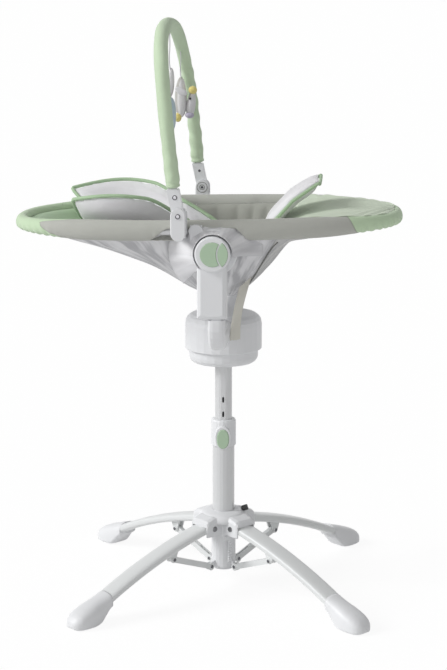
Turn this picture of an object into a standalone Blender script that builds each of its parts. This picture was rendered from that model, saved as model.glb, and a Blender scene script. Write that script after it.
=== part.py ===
"""Convertible high chair: a reclining seat in a swivelling yoke on a folding four-leg pedestal.

Frame: metres, +Z up, X from the head end (-X) to the foot end (+X), Y across the seat.
The origin lies on the floor under the middle of the chair's bounding box.
"""
import math

import bmesh
import bpy
from mathutils import Matrix, Vector

MM = 0.001
GAP = 0.3 * MM

# Column place and the small turn between the seat and its base
COLUMN_X = 31 * MM
BASE_TURN = math.radians(2.5)

# Legs, shoes and struts, in the upright plane of each leg
LEG_COUNT = 4
LEG_PIVOT_R = 50 * MM
LEG_PIVOT_Z = 138 * MM
LEG_DROP = math.radians(10.7)
LEG_BOW = math.radians(15.2)
LEG_LENGTH = 306 * MM
LEG_WIDTH = 43 * MM
LEG_HEIGHT = 16 * MM
LEG_WALL = 2 * MM
LEG_PIN_RADIUS = 4 * MM
FOOT_LENGTH = 111 * MM
FOOT_WIDTH = 56 * MM
FOOT_SHELL = 3 * MM
FOOT_LAP = 30 * MM
STRUT_OUT_R = 150 * MM
STRUT_OUT_Z = 88 * MM
STRUT_IN_R = 40 * MM
STRUT_IN_Z = 46 * MM
STRUT_WIDTH = 10 * MM
STRUT_HEIGHT = 12 * MM
STRUT_EYE_RADIUS = 6.3 * MM
STRUT_BOSS_RADIUS = 8.5 * MM
STRUT_PIN_RADIUS = 3 * MM
FORK_CHEEK = 3.4 * MM
FORK_DEPTH = 38 * MM
FIN_THICKNESS = 4 * MM
FIN_RADIUS = 6.3 * MM
FOLD_ANGLE = math.radians(60)

# Hub
HUB_BOTTOM = 118 * MM
HUB_TOP = 168 * MM
HUB_RADIUS = 40 * MM
LOBE_REACH = 70 * MM
LOBE_CHEEK = 5 * MM
PLUNGER_RISE = math.radians(18)
PLUNGER_Z = 163 * MM
PLUNGER_KNOB_RADIUS = 6.2 * MM
PLUNGER_PIN_RADIUS = 3 * MM
PLUNGER_GROOVES = 6
LATCH_AZIMUTH = math.radians(-62)
LATCH_LENGTH = 52 * MM

# Column
LOWER_TUBE_RADIUS = 23.5 * MM
LOWER_TUBE_WALL = 1.5 * MM
LOWER_TUBE_BOTTOM = 43 * MM
LOWER_TUBE_TOP = 330 * MM
SLEEVE_RADIUS = 26 * MM
SLEEVE_BOTTOM = 40 * MM
UPPER_TUBE_FLATS = 36 * MM
UPPER_TUBE_WALL = 1.8 * MM
UPPER_TUBE_BOTTOM = 225 * MM
BUSH_LENGTH = 62 * MM
SLOT_WIDTH = 4.2 * MM
SLOT_HEIGHT = 13 * MM
SLOT_PITCH = 32 * MM
SLOT_TOP_Z = 414.5 * MM
SLOT_COUNT = 6
COLLAR_RADIUS = 26.6 * MM
COLLAR_BOTTOM = 312 * MM
COLLAR_TOP = 370 * MM
BUTTON_Z = 331.6 * MM
BUTTON_WIDTH = 26 * MM
BUTTON_HEIGHT = 42 * MM
BUTTON_FACE_Y = 35 * MM

# Swivel drum and yoke
DRUM_BASE_RADIUS = 73.5 * MM
DRUM_BASE_BOTTOM = 495 * MM
DRUM_BASE_TOP = 525 * MM
DRUM_CAP_RADIUS = 81.5 * MM
DRUM_CAP_TOP = 601 * MM
DRUM_WALL = 3.5 * MM
SADDLE_WIDTH = 44 * MM
SADDLE_START_Y = 30 * MM
SADDLE_END_Y = 60 * MM
SPINDLE_RADIUS = 6 * MM
YOKE_MIDDLE_X = 6 * MM
YOKE_WIDTH = 34 * MM
ARM_MIDDLE_X = -2.5 * MM
YOKE_BAR_Z = 579 * MM
YOKE_BAR_HEIGHT = 36 * MM
YOKE_ARM_THICKNESS = 28 * MM
YOKE_ARM_Y = 241 * MM
YOKE_BEND_RADIUS = 46 * MM
YOKE_ARM_TOP = 632 * MM
SPIGOT_LENGTH = 52 * MM
SPIGOT_SHARE = 0.74

# Tilt hinge at each side of the seat
HINGE_Z = 765 * MM
HINGE_DISC_RADIUS = 35 * MM
HINGE_DISC_FACE_Y = 266 * MM
ARM_SLEEVE_WIDTH = 59 * MM
ARM_SLEEVE_INNER_Y = 226 * MM
ARM_SLEEVE_OUTER_Y = 256 * MM
ARM_DISC_INNER_Y = 239 * MM
COVER_RADIUS = 24.3 * MM
CRESCENT_RADIUS = 31.6 * MM
CRESCENT_CUT_X = 46 * MM
CRESCENT_CUT_RADIUS = 36 * MM
AXLE_RADIUS = 11.5 * MM
HOUSING_RADIUS = 47 * MM
HOUSING_INNER_Y = 224.5 * MM
EAR_X = -35 * MM
EAR_RADIUS = 14.5 * MM

# Seat ring and its cloth
RING_MIDDLE_X = -31 * MM
RING_HALF_LENGTH = 390 * MM
RING_HALF_WIDTH = 212 * MM
RING_ROUNDNESS = 2.4
RING_Z = 805 * MM
RING_SLOPE = 0.02
RING_TUBE_RADIUS = 9.5 * MM
RIM_CLOTH_HALF_WIDTH = 12.9 * MM
RIM_CLOTH_HALF_HEIGHT = 20 * MM
RIM_CLOTH_THICKNESS = 1.8 * MM
RIM_CUT = (
    (-146 * MM, 776 * MM), (-128 * MM, 790 * MM), (-96 * MM, 808 * MM), (-84 * MM, 811 * MM), (40 * MM, 811 * MM),
    (56 * MM, 806 * MM), (70 * MM, 794 * MM), (78 * MM, 776 * MM))
HAMMOCK_THICKNESS = 5 * MM
HAMMOCK_BOTTOM_X = 6 * MM
HAMMOCK_FOLD_DEPTH = 2.5 * MM
HAMMOCK_FOLDS = 10
HAMMOCK_INSET = 2.5 * MM
HAMMOCK_ROUNDNESS = 2.2
HAMMOCK_LINE = (
    (-500 * MM, 793 * MM), (-330 * MM, 775 * MM), (-222 * MM, 738 * MM), (-138 * MM, 705 * MM), (-97 * MM, 680 * MM),
    (-61 * MM, 657 * MM), (-20 * MM, 642 * MM), (12 * MM, 640 * MM), (40 * MM, 648 * MM), (70 * MM, 672 * MM),
    (95 * MM, 696 * MM), (115 * MM, 720 * MM), (135 * MM, 752 * MM), (160 * MM, 776 * MM), (230 * MM, 786 * MM),
    (500 * MM, 800 * MM))

# Cloth cover over the foot end of the ring
COVER_START_X = 112 * MM
COVER_THICKNESS = 2.4 * MM
COVER_INSET = 12.0 * MM
COVER_EDGE_RISE = 10 * MM
COVER_COLUMNS = 6
COVER_LINE = (
    (100 * MM, 788 * MM), (112 * MM, 793 * MM), (140 * MM, 799 * MM), (164 * MM, 806 * MM), (183 * MM, 812 * MM),
    (213 * MM, 818 * MM), (262 * MM, 822 * MM), (320 * MM, 821 * MM), (372 * MM, 817 * MM))

# Toy arch
ARCH_PIVOT_X = -67 * MM
ARCH_PIVOT_Y = 248 * MM
ARCH_PIVOT_Z = 839 * MM
ARCH_BRACKET_WIDTH = 30 * MM
ARCH_BRACKET_BOTTOM = 790 * MM
ARCH_INNER_Y = 230 * MM
ARCH_OUTER_Y = 266 * MM
ARCH_SOCKET_WIDTH = 24 * MM
ARCH_SOCKET_THICKNESS = 20 * MM
ARCH_SOCKET_TOP = 891 * MM
ARCH_TOP_Z = 1200 * MM
ARCH_SHOULDER_Z = 960 * MM
ARCH_ROUNDNESS = 2.7
ARCH_BAR_RADIUS = 7.5 * MM
ARCH_SLEEVE_RADIUS = 14 * MM
ARCH_FOOT_X = -78 * MM
ARCH_LEAN = 0.085
ARCH_BEND = 0.10

# Padded insert: wings at the head and back, flap at the feet
PAD_THICKNESS = 15 * MM
PAD_HEAD_X = -258 * MM
PAD_SEAT_X = -16 * MM
PAD_CORNER_REACH = 75 * MM
PAD_NARROW = 112 * MM
PAD_SWELL = 62 * MM
PAD_REST = 15.5 * MM
PAD_HEAD_RISE = 14 * MM
PAD_WING_Z = 846 * MM
FLAP_THICKNESS = 16 * MM
FLAP_NARROW = 52 * MM
FLAP_WIDE = 92 * MM
FLAP_LINE = (
    (20 * MM, 655 * MM), (50 * MM, 692 * MM), (78 * MM, 746 * MM), (104 * MM, 802 * MM), (146 * MM, 848 * MM),
    (204 * MM, 886 * MM))

# Belt end under the seat
STRAP_Y = -112 * MM
STRAP_TOP_X = 60 * MM
STRAP_CLEARANCE = -0.4 * MM
STRAP_END_Z = 610 * MM
STRAP_WIDTH = 24 * MM
STRAP_THICKNESS = 2.4 * MM
STRAP_SWEEP = 22 * MM
STRAP_TWIST = math.radians(35)

# Hanging toys
TOY_A_Y = 24 * MM
TOY_B_Y = 178 * MM
TOY_RIBBON_WIDTH = 11 * MM
TOY_RIBBON_THICKNESS = 2 * MM

# Facets: how finely round forms are drawn
ROUND_STEPS = 20
DRUM_STEPS = 28
RING_STEPS = 36
TUBE_STEPS = 8
LEG_STEPS = 4
PIN_STEPS = 8
LEG_SIDES = 10
YOKE_SIDES = 16
DISC_STEPS = 24
CLOTH_STEPS = 6
STRAP_STEPS = 12
ARCH_STEPS = 14

COLOURS = {
    "white_plastic": ((0.80, 0.80, 0.81), 0.38, 0.0),
    "painted_leg": ((0.74, 0.75, 0.75), 0.42, 0.0),
    "light_metal": ((0.66, 0.66, 0.67), 0.32, 0.4),
    "screw": ((0.16, 0.16, 0.17), 0.35, 0.9),
    "green_plastic": ((0.43, 0.56, 0.41), 0.45, 0.0),
    "black_plastic": ((0.05, 0.05, 0.05), 0.5, 0.0),
    "mint_cloth": ((0.62, 0.78, 0.56), 0.85, 0.0),
    "grey_cloth": ((0.44, 0.45, 0.41), 0.9, 0.0),
    "white_cloth": ((0.80, 0.79, 0.80), 0.9, 0.0),
    "webbing": ((0.68, 0.66, 0.60), 0.85, 0.0),
    "plush": ((0.75, 0.74, 0.72), 0.95, 0.0),
}


def finish(slot):
    """Return the slot's Principled material, made on first use."""
    found = bpy.data.materials.get(slot)
    if found:
        return found
    colour, roughness, metallic = COLOURS[slot]
    material = bpy.data.materials.new(slot)
    material.use_nodes = True
    shader = material.node_tree.nodes["Principled BSDF"]
    shader.inputs["Base Color"].default_value = (*colour, 1)
    shader.inputs["Roughness"].default_value = roughness
    shader.inputs["Metallic"].default_value = metallic
    return material


def axis(name, parent=None, location=(0, 0, 0), turn=0.0):
    """Place an empty: a joint's axis or the frame of a group of pieces."""
    empty = bpy.data.objects.new(name, None)
    empty.empty_display_size = 0.03
    bpy.context.scene.collection.objects.link(empty)
    empty.parent = parent
    empty.location = location
    empty.rotation_euler = (0, 0, turn)
    bpy.context.view_layer.update()
    return empty


def from_column(empty):
    """Matrix that takes the column's frame to the empty's own frame."""
    return (COLUMN_AXIS.matrix_world.inverted() @ empty.matrix_world).inverted()


def piece(name, bm, slot, parent, in_column_frame=True, smooth=35):
    """Turn a bmesh into a named object; its vertices are in the column's frame or the parent's own."""
    mesh = bpy.data.meshes.new(name)
    bm.normal_update()
    bm.to_mesh(mesh)
    bm.free()
    mesh.materials.append(finish(slot))
    mesh.shade_smooth()
    mesh.set_sharp_from_angle(angle=math.radians(smooth))
    made = bpy.data.objects.new(name, mesh)
    bpy.context.scene.collection.objects.link(made)
    made.parent = parent
    if in_column_frame:
        made.matrix_parent_inverse = from_column(parent)
    bpy.context.view_layer.update()
    return made


def helper(name, bm, parent, in_column_frame=True):
    """Make a guide object that only a Boolean reads."""
    made = piece(name, bm, "white_plastic", parent, in_column_frame)
    made.hide_render = True
    made.display_type = "WIRE"
    return made


def boolean(target, other, operation):
    modifier = target.modifiers.new(other.name, "BOOLEAN")
    modifier.operation = operation
    modifier.solver = "EXACT"
    modifier.object = other


def cut(target, label, bm, in_column_frame=True):
    boolean(target, helper(target.name + "_" + label, bm, target.parent, in_column_frame), "DIFFERENCE")


def join(target, label, bm, in_column_frame=True):
    boolean(target, helper(target.name + "_" + label, bm, target.parent, in_column_frame), "UNION")


def loft(outlines, closed=False):
    """Carry one closed outline through a row of outlines with as many points."""
    bm = bmesh.new()
    rings = [[bm.verts.new(point) for point in outline] for outline in outlines]
    pairs = list(zip(rings, rings[1:]))
    if closed:
        pairs.append((rings[-1], rings[0]))
    for low, high in pairs:
        count = len(low)
        for i in range(count):
            bm.faces.new((low[i], low[(i + 1) % count], high[(i + 1) % count], high[i]))
    if not closed:
        bm.faces.new(rings[0])
        bm.faces.new(rings[-1])
    bmesh.ops.recalc_face_normals(bm, faces=bm.faces)
    return bm


def prism(outline, low, high, direction="Z"):
    """Extrude a flat outline along one of the frame's axes."""
    place = {
        "Z": lambda a, b, c: (a, b, c),
        "Y": lambda a, b, c: (a, c, b),
        "X": lambda a, b, c: (c, a, b),
    }[direction]
    return loft([[place(a, b, low) for a, b in outline], [place(a, b, high) for a, b in outline]])


def block(low, high):
    outline = ((low[0], low[1]), (high[0], low[1]), (high[0], high[1]), (low[0], high[1]))
    return prism(outline, low[2], high[2])


def arc(middle, radius, start, end, steps):
    """Points on an arc, angles in degrees."""
    points = []
    for i in range(steps + 1):
        angle = math.radians(start + (end - start) * i / steps)
        points.append((middle[0] + radius * math.cos(angle), middle[1] + radius * math.sin(angle)))
    return points


def circle(radius, steps, middle=(0, 0)):
    return arc(middle, radius, 0, 360 - 360 / steps, steps - 1)


def oval(width, height, steps, middle=(0, 0), roundness=2.0):
    """Closed superellipse; a roundness of 2 is an ellipse, more is squarer."""
    points = []
    for i in range(steps):
        angle = 2 * math.pi * (i + 0.5) / steps
        c, s = math.cos(angle), math.sin(angle)
        a = math.copysign(abs(c) ** (2 / roundness), c) * width / 2
        b = math.copysign(abs(s) ** (2 / roundness), s) * height / 2
        points.append((middle[0] + a, middle[1] + b))
    return points


def octagon(flats, rounding):
    """Octagon with a flat facing -Y and each corner cut twice to round it."""
    corner = flats / 2 / math.cos(math.pi / 8)
    points = []
    for i in range(8):
        angle = math.pi / 8 + i * math.pi / 4
        for side in (-1, 1):
            along = Vector((math.cos(angle), math.sin(angle))) * corner
            toward = Vector((math.cos(angle + side * math.pi / 4), math.sin(angle + side * math.pi / 4))) * corner
            points.append(tuple(along + (toward - along).normalized() * rounding))
    return points


def turned(profile, steps, middle=(0, 0)):
    """Revolve a closed profile of (radius, height) points about a vertical line."""
    bm = bmesh.new()
    ring = [bm.verts.new((radius, 0, height)) for radius, height in profile]
    edges = [bm.edges.new((ring[i], ring[(i + 1) % len(ring)])) for i in range(len(ring))]
    bmesh.ops.spin(
        bm, geom=ring + edges, cent=(0, 0, 0), axis=(0, 0, 1), angle=2 * math.pi,
        steps=steps, use_merge=True)
    bmesh.ops.remove_doubles(bm, verts=bm.verts, dist=1e-7)
    flat = [edge for edge in bm.edges if not edge.link_faces]
    bmesh.ops.delete(bm, geom=flat, context="EDGES")
    inner = [edge for edge in bm.edges if len(edge.link_faces) > 2]
    bmesh.ops.delete(bm, geom=inner, context="EDGES")
    bmesh.ops.recalc_face_normals(bm, faces=bm.faces)
    bmesh.ops.translate(bm, verts=bm.verts, vec=(middle[0], middle[1], 0))
    return bm


def cylinder(radius, low, high, steps=16, direction="Z", middle=(0, 0)):
    return prism(circle(radius, steps, middle), low, high, direction)


def moved(bm, matrix):
    bmesh.ops.transform(bm, matrix=matrix, verts=bm.verts)
    return bm


def mirrored_y(bm):
    """Mirror to the other side of the seat and keep the faces pointing out."""
    bmesh.ops.scale(bm, verts=bm.verts, vec=(1, -1, 1))
    bmesh.ops.reverse_faces(bm, faces=bm.faces)
    return bm


def to_side(bm, side):
    """The far side (+Y) is modelled; the near side (-Y) is its mirror."""
    return bm if side > 0 else mirrored_y(bm)


SIDES = (("near", -1), ("far", 1))


# Fold geometry of one leg and its strut

def strut_triangle(fold):
    """Outer strut joint and the drop of the column for a leg turned down by an angle."""
    arm = Vector((STRUT_OUT_R - LEG_PIVOT_R, STRUT_OUT_Z - LEG_PIVOT_Z))
    length = math.hypot(STRUT_OUT_R - STRUT_IN_R, STRUT_OUT_Z - STRUT_IN_Z)
    c, s = math.cos(fold), math.sin(fold)
    out_r = LEG_PIVOT_R + arm.x * c + arm.y * s
    out_z = LEG_PIVOT_Z - arm.x * s + arm.y * c
    in_z = out_z - math.sqrt(length ** 2 - (out_r - STRUT_IN_R) ** 2)
    pitch = math.atan2(out_z - in_z, out_r - STRUT_IN_R)
    return STRUT_IN_Z - in_z, pitch


FOLD_TRAVEL, FOLDED_PITCH = strut_triangle(FOLD_ANGLE)
OPEN_PITCH = strut_triangle(0)[1]
STRUT_TURN = FOLD_ANGLE + FOLDED_PITCH - OPEN_PITCH


# Start from an empty scene and set out the joint axes

for old in list(bpy.data.objects):
    bpy.data.objects.remove(old, do_unlink=True)

COLUMN_AXIS = axis("column_axis", location=(COLUMN_X, 0, 0))
BASE_AXIS = axis("base_turn", COLUMN_AXIS, turn=BASE_TURN)
HEIGHT_AXIS = axis("height_slide", BASE_AXIS)
SWIVEL_AXIS = axis("seat_swivel", COLUMN_AXIS, (0, 0, DRUM_BASE_TOP))
TILT_AXIS = axis("seat_tilt", SWIVEL_AXIS, (0, 0, HINGE_Z - DRUM_BASE_TOP))
ARCH_AXIS = axis("arch_turn", TILT_AXIS, (ARCH_PIVOT_X, 0, ARCH_PIVOT_Z - HINGE_Z))


def leg_frame(number):
    """Turn of one leg about the column."""
    return math.radians(45 + 90 * number)


# Hub: a moulded crown with four channels, one for each leg

def hub_profile():
    """Half section of the crown's middle, from the bore out and back."""
    bore = LOWER_TUBE_RADIUS + GAP
    dome = arc((bore + 5 * MM, HUB_TOP - 11 * MM), 11 * MM, 90, 30, 2)
    return [(bore, HUB_BOTTOM), (HUB_RADIUS, HUB_BOTTOM), (HUB_RADIUS, HUB_TOP - 18 * MM)] + dome[::-1] + [
        (bore, HUB_TOP)]


def lobe():
    """One arm of the crown: an arched channel block that lowers and rounds off outwards."""
    half = LEG_WIDTH / 2 + 0.5 * MM + LOBE_CHEEK
    bottom = HUB_BOTTOM + 4 * MM
    stations = (
        (26 * MM, 1.0, HUB_TOP - 3 * MM), (50 * MM, 1.0, HUB_TOP - 6 * MM),
        (LOBE_REACH - 4 * MM, 0.98, HUB_TOP - 11 * MM), (LOBE_REACH, 0.93, HUB_TOP - 15 * MM))
    outlines = []
    for reach, share, top in stations:
        side = half * share
        shoulder = 9 * MM
        right = arc((side - shoulder, top - shoulder), shoulder, 0, 90, 2)
        left = arc((-side + shoulder, top - shoulder), shoulder, 90, 180, 2)
        outline = [(side, bottom)] + right + left + [(-side, bottom)]
        outlines.append([(reach, y, z) for y, z in outline])
    return loft(outlines)


def lobe_channel():
    """The space in a lobe that the leg's root turns in, open below and outwards."""
    roof = LEG_PIVOT_Z + LEG_HEIGHT / 2 + 1.8 * MM
    low = HUB_BOTTOM - 20 * MM
    inner = LEG_PIVOT_R - LEG_HEIGHT / 2 - 2.5 * MM
    outer = LOBE_REACH + 10 * MM
    outline = ((inner, low), (outer, low), (outer, roof - 8 * MM), (LEG_PIVOT_R + 8 * MM, roof), (inner, roof))
    half = LEG_WIDTH / 2 + 0.5 * MM
    return prism(outline, -half, half, "Y")


def plunger_frame():
    """Frame of the pull plunger: its own Z runs outwards and up along the pin."""
    turn = Matrix.Rotation(math.pi / 2 - PLUNGER_RISE, 4, "Y")
    return Matrix.Translation((LOWER_TUBE_RADIUS, 0, PLUNGER_Z)) @ turn


def build_hub():
    hub = piece("hub_crown", turned(hub_profile(), ROUND_STEPS), "white_plastic", BASE_AXIS, False)
    for number in range(LEG_COUNT):
        turn = Matrix.Rotation(leg_frame(number), 4, "Z")
        join(hub, "lobe_%d" % (number + 1), moved(lobe(), turn), False)
    boss = moved(cylinder(8 * MM, 2.5 * MM, 16 * MM, 12), plunger_frame())
    join(hub, "plunger_boss", boss, False)
    bore = cylinder(LOWER_TUBE_RADIUS + GAP, HUB_BOTTOM - 5 * MM, HUB_TOP + 20 * MM, ROUND_STEPS)
    cut(hub, "bore", bore, False)
    cut(hub, "plunger_bore", moved(cylinder(PLUNGER_PIN_RADIUS + GAP, -4 * MM, 30 * MM, 12), plunger_frame()), False)
    for number in range(LEG_COUNT):
        turn = Matrix.Rotation(leg_frame(number), 4, "Z")
        cut(hub, "channel_%d" % (number + 1), moved(lobe_channel(), turn), False)
        middle = (LEG_PIVOT_R, LEG_PIVOT_Z)
        hole = cylinder(LEG_PIN_RADIUS + GAP, -LOBE_REACH / 2, LOBE_REACH / 2, PIN_STEPS, "Y", middle)
        cut(hub, "pin_hole_%d" % (number + 1), moved(hole, turn), False)
    return hub


def build_leg_pins():
    """A shouldered pin with a domed head at each end, through the cheeks and the leg."""
    half = LEG_WIDTH / 2 + 0.5 * MM + LOBE_CHEEK + GAP
    radius = LEG_PIN_RADIUS
    head = radius + 2.2 * MM
    profile = [
        (0, -half - 2.2 * MM), (head - 1.2 * MM, -half - 2.2 * MM), (head, -half), (radius, -half), (radius, half),
        (head, half), (head - 1.2 * MM, half + 2.2 * MM), (0, half + 2.2 * MM)]
    for number in range(LEG_COUNT):
        pin = turned(profile, PIN_STEPS)
        moved(pin, Matrix.Rotation(math.pi / 2, 4, "X"))
        moved(pin, Matrix.Translation((LEG_PIVOT_R, 0, LEG_PIVOT_Z)))
        moved(pin, Matrix.Rotation(leg_frame(number), 4, "Z"))
        piece("leg_pin_%d" % (number + 1), pin, "screw", BASE_AXIS, False)


def build_plunger():
    """Spring plunger that locks the hub to the column: a pin with a ribbed pull knob."""
    start = 0.9 * MM
    knob = 17.5 * MM
    end = knob + 13 * MM
    radius = PLUNGER_KNOB_RADIUS
    pin = PLUNGER_PIN_RADIUS
    profile = [
        (0, start), (pin - 1 * MM, start), (pin, start + 1 * MM), (pin, knob), (radius - 0.8 * MM, knob),
        (radius, knob + 1 * MM), (radius, end - 1 * MM), (radius - 0.8 * MM, end), (0, end)]
    frame = axis("plunger_slide", BASE_AXIS, plunger_frame().to_translation())
    frame.rotation_euler = plunger_frame().to_euler()
    bpy.context.view_layer.update()
    made = piece("lock_plunger", turned(profile, 14), "black_plastic", frame, False)
    for i in range(PLUNGER_GROOVES):
        turn = Matrix.Rotation(2 * math.pi * i / PLUNGER_GROOVES, 4, "Z")
        groove = cylinder(0.9 * MM, knob + 2 * MM, end + 1 * MM, 5, "Z", (radius + 0.25 * MM, 0))
        cut(made, "groove_%d" % (i + 1), moved(groove, turn), False)


def build_fold_latch():
    """Toothed bar on a bracket under the hub; it runs down beside the sleeve."""
    inner = SLEEVE_RADIUS + 1.5 * MM
    top = HUB_BOTTOM - GAP
    foot = top - 9 * MM
    turn = Matrix.Rotation(LATCH_AZIMUTH, 4, "Z")
    bracket = moved(block((inner, -15 * MM, foot), (inner + 13 * MM, 15 * MM, top)), turn)
    made = piece("fold_latch", bracket, "white_plastic", BASE_AXIS, False)
    bar_in = inner + 2 * MM
    bar_out = bar_in + 4 * MM
    tooth = 5.5 * MM
    side = [(bar_in, foot + 2 * MM), (bar_in, foot - LATCH_LENGTH)]
    for i in range(int(LATCH_LENGTH / tooth)):
        low = foot - LATCH_LENGTH + i * tooth
        side += [(bar_out, low), (bar_out + 1.6 * MM, low + tooth * 0.75)]
    side.append((bar_out, foot + 2 * MM))
    join(made, "bar", moved(prism(side, -4.5 * MM, 4.5 * MM, "Y"), turn), False)


# Legs: flat oval tubes with a strut bracket, each in its own frame on its pivot

def leg_line(along):
    """Point and slope of the bowed leg's middle line at a length from its pivot."""
    steps = 24
    x = z = 0.0
    for i in range(steps):
        turn = LEG_DROP + LEG_BOW * (i + 0.5) / steps * along / LEG_LENGTH
        x += along / steps * math.cos(turn)
        z -= along / steps * math.sin(turn)
    return x, z, LEG_DROP + LEG_BOW * along / LEG_LENGTH


def leg_section(along, width, height):
    """Oval outline square to the bowed middle line."""
    x, z, drop = leg_line(along)
    return [
        (x + up * math.sin(drop), y, z + up * math.cos(drop))
        for y, up in oval(width, height, LEG_SIDES, roundness=2.6)]


def leg_height(x):
    """Height of the middle line over a place along the ground."""
    along = x
    for _ in range(4):
        along += (x - leg_line(along)[0]) / math.cos(LEG_DROP + LEG_BOW * along / LEG_LENGTH)
    return leg_line(along)[1]


def leg_body():
    """Bowed oval tube with a rounded root; X runs outwards from the pivot."""
    half = LEG_HEIGHT / 2
    outlines = []
    for share in (-0.96, -0.7):
        tall = LEG_HEIGHT * math.sqrt(1 - share ** 2)
        outlines.append(leg_section(share * half, LEG_WIDTH, tall))
    for i in range(LEG_STEPS + 1):
        outlines.append(leg_section(LEG_LENGTH * i / LEG_STEPS, LEG_WIDTH, LEG_HEIGHT))
    return loft(outlines)


def strut_joint_in_leg():
    return Vector((STRUT_OUT_R - LEG_PIVOT_R, 0, STRUT_OUT_Z - LEG_PIVOT_Z))


def bracket_cheek(inner):
    """One ear under the leg that carries the strut's pin."""
    joint = strut_joint_in_leg()
    depth = LEG_HEIGHT / 2 - 1 * MM
    start, stop = joint.x - 15 * MM, joint.x + 13 * MM
    ear = arc((joint.x, joint.z), 7.2 * MM, -200, -10, 6)
    outline = [(stop, leg_height(stop) - depth), (start, leg_height(start) - depth)] + ear
    return prism(outline, inner, inner + 3 * MM, "Y")


def build_legs():
    for number in range(LEG_COUNT):
        turn = leg_frame(number)
        place = Matrix.Rotation(turn, 4, "Z") @ Vector((LEG_PIVOT_R, 0, LEG_PIVOT_Z))
        frame = axis("leg_pivot_%d" % (number + 1), BASE_AXIS, place, turn)
        leg = piece("leg_%d" % (number + 1), leg_body(), "painted_leg", frame, False)
        inside = [
            leg_section(along, LEG_WIDTH - 2 * LEG_WALL, LEG_HEIGHT - 2 * LEG_WALL)
            for along in [-LEG_HEIGHT] + [LEG_LENGTH * i / LEG_STEPS for i in range(LEG_STEPS)] + [LEG_LENGTH + 5 * MM]]
        cheek = STRUT_WIDTH / 2 + GAP
        joint = strut_joint_in_leg()
        middle = (joint.x, joint.z)
        for side in (1, -1):
            ear = bracket_cheek(cheek)
            join(leg, "ear_%d" % side, ear if side > 0 else mirrored_y(ear), False)
        reach = cheek + 5 * MM
        join(leg, "strut_pin", cylinder(STRUT_PIN_RADIUS, -reach, reach, PIN_STEPS, "Y", middle), False)
        for side in (1, -1):
            head = cylinder(STRUT_PIN_RADIUS + 1.8 * MM, cheek + 2 * MM, reach + 0.4 * MM, PIN_STEPS, "Y", middle)
            join(leg, "strut_head_%d" % side, head if side > 0 else mirrored_y(head), False)
        cut(leg, "inside", loft(inside), False)
        pin_room = (LEG_PIN_RADIUS + GAP) / math.cos(math.pi / PIN_STEPS)
        cut(leg, "pin_hole", cylinder(pin_room, -LEG_WIDTH, LEG_WIDTH, PIN_STEPS, "Y"), False)
        build_foot(number, frame)
        build_strut(number, frame)


def build_foot(number, frame):
    """Moulded shoe: a slipper over the tube's end, flat underneath, swelling to a rounded toe."""
    floor = -LEG_PIVOT_Z
    start = leg_line(LEG_LENGTH - FOOT_LAP)[0]
    # Each station: share of the length, share of the width, height of the top and of the sole over the floor
    stations = (
        (0.00, 0.86, None, None), (0.12, 0.90, None, None), (0.24, 0.95, None, 5 * MM), (0.34, 1.0, None, 0),
        (0.56, 1.0, 43 * MM, 0), (0.74, 0.97, 35 * MM, 0), (0.88, 0.84, 26 * MM, 0), (0.96, 0.60, 17 * MM, 2 * MM),
        (1.0, 0.32, 11 * MM, 5 * MM))
    outlines = []
    for share, width, top, sole in stations:
        x = start + share * FOOT_LENGTH
        tube = leg_height(min(x, leg_line(LEG_LENGTH)[0]))
        wall = LEG_HEIGHT / 2 / math.cos(LEG_DROP + LEG_BOW) + FOOT_SHELL
        high = tube + wall if top is None else floor + top
        low = tube - wall if sole is None else floor + sole
        half = FOOT_WIDTH / 2 * width
        shoulder = min(half * 0.8, (high - low) * 0.62)
        right = arc((half - shoulder, high - shoulder), shoulder, 0, 90, 3)
        left = arc((-half + shoulder, high - shoulder), shoulder, 90, 180, 3)
        heel = min(4 * MM, (high - low) * 0.2)
        base = [(-half, low + heel), (-half + heel, low), (half - heel, low), (half, low + heel)]
        outlines.append([(x, y, z) for y, z in right + left + base])
    foot = piece("foot_%d" % (number + 1), loft(outlines), "white_plastic", frame, False, 50)
    socket = [
        leg_section(along, LEG_WIDTH + 2 * GAP, LEG_HEIGHT + 2 * GAP)
        for along in (LEG_LENGTH * (LEG_STEPS - 1) / LEG_STEPS, LEG_LENGTH, LEG_LENGTH + GAP)]
    cut(foot, "socket", loft(socket), False)


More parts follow.
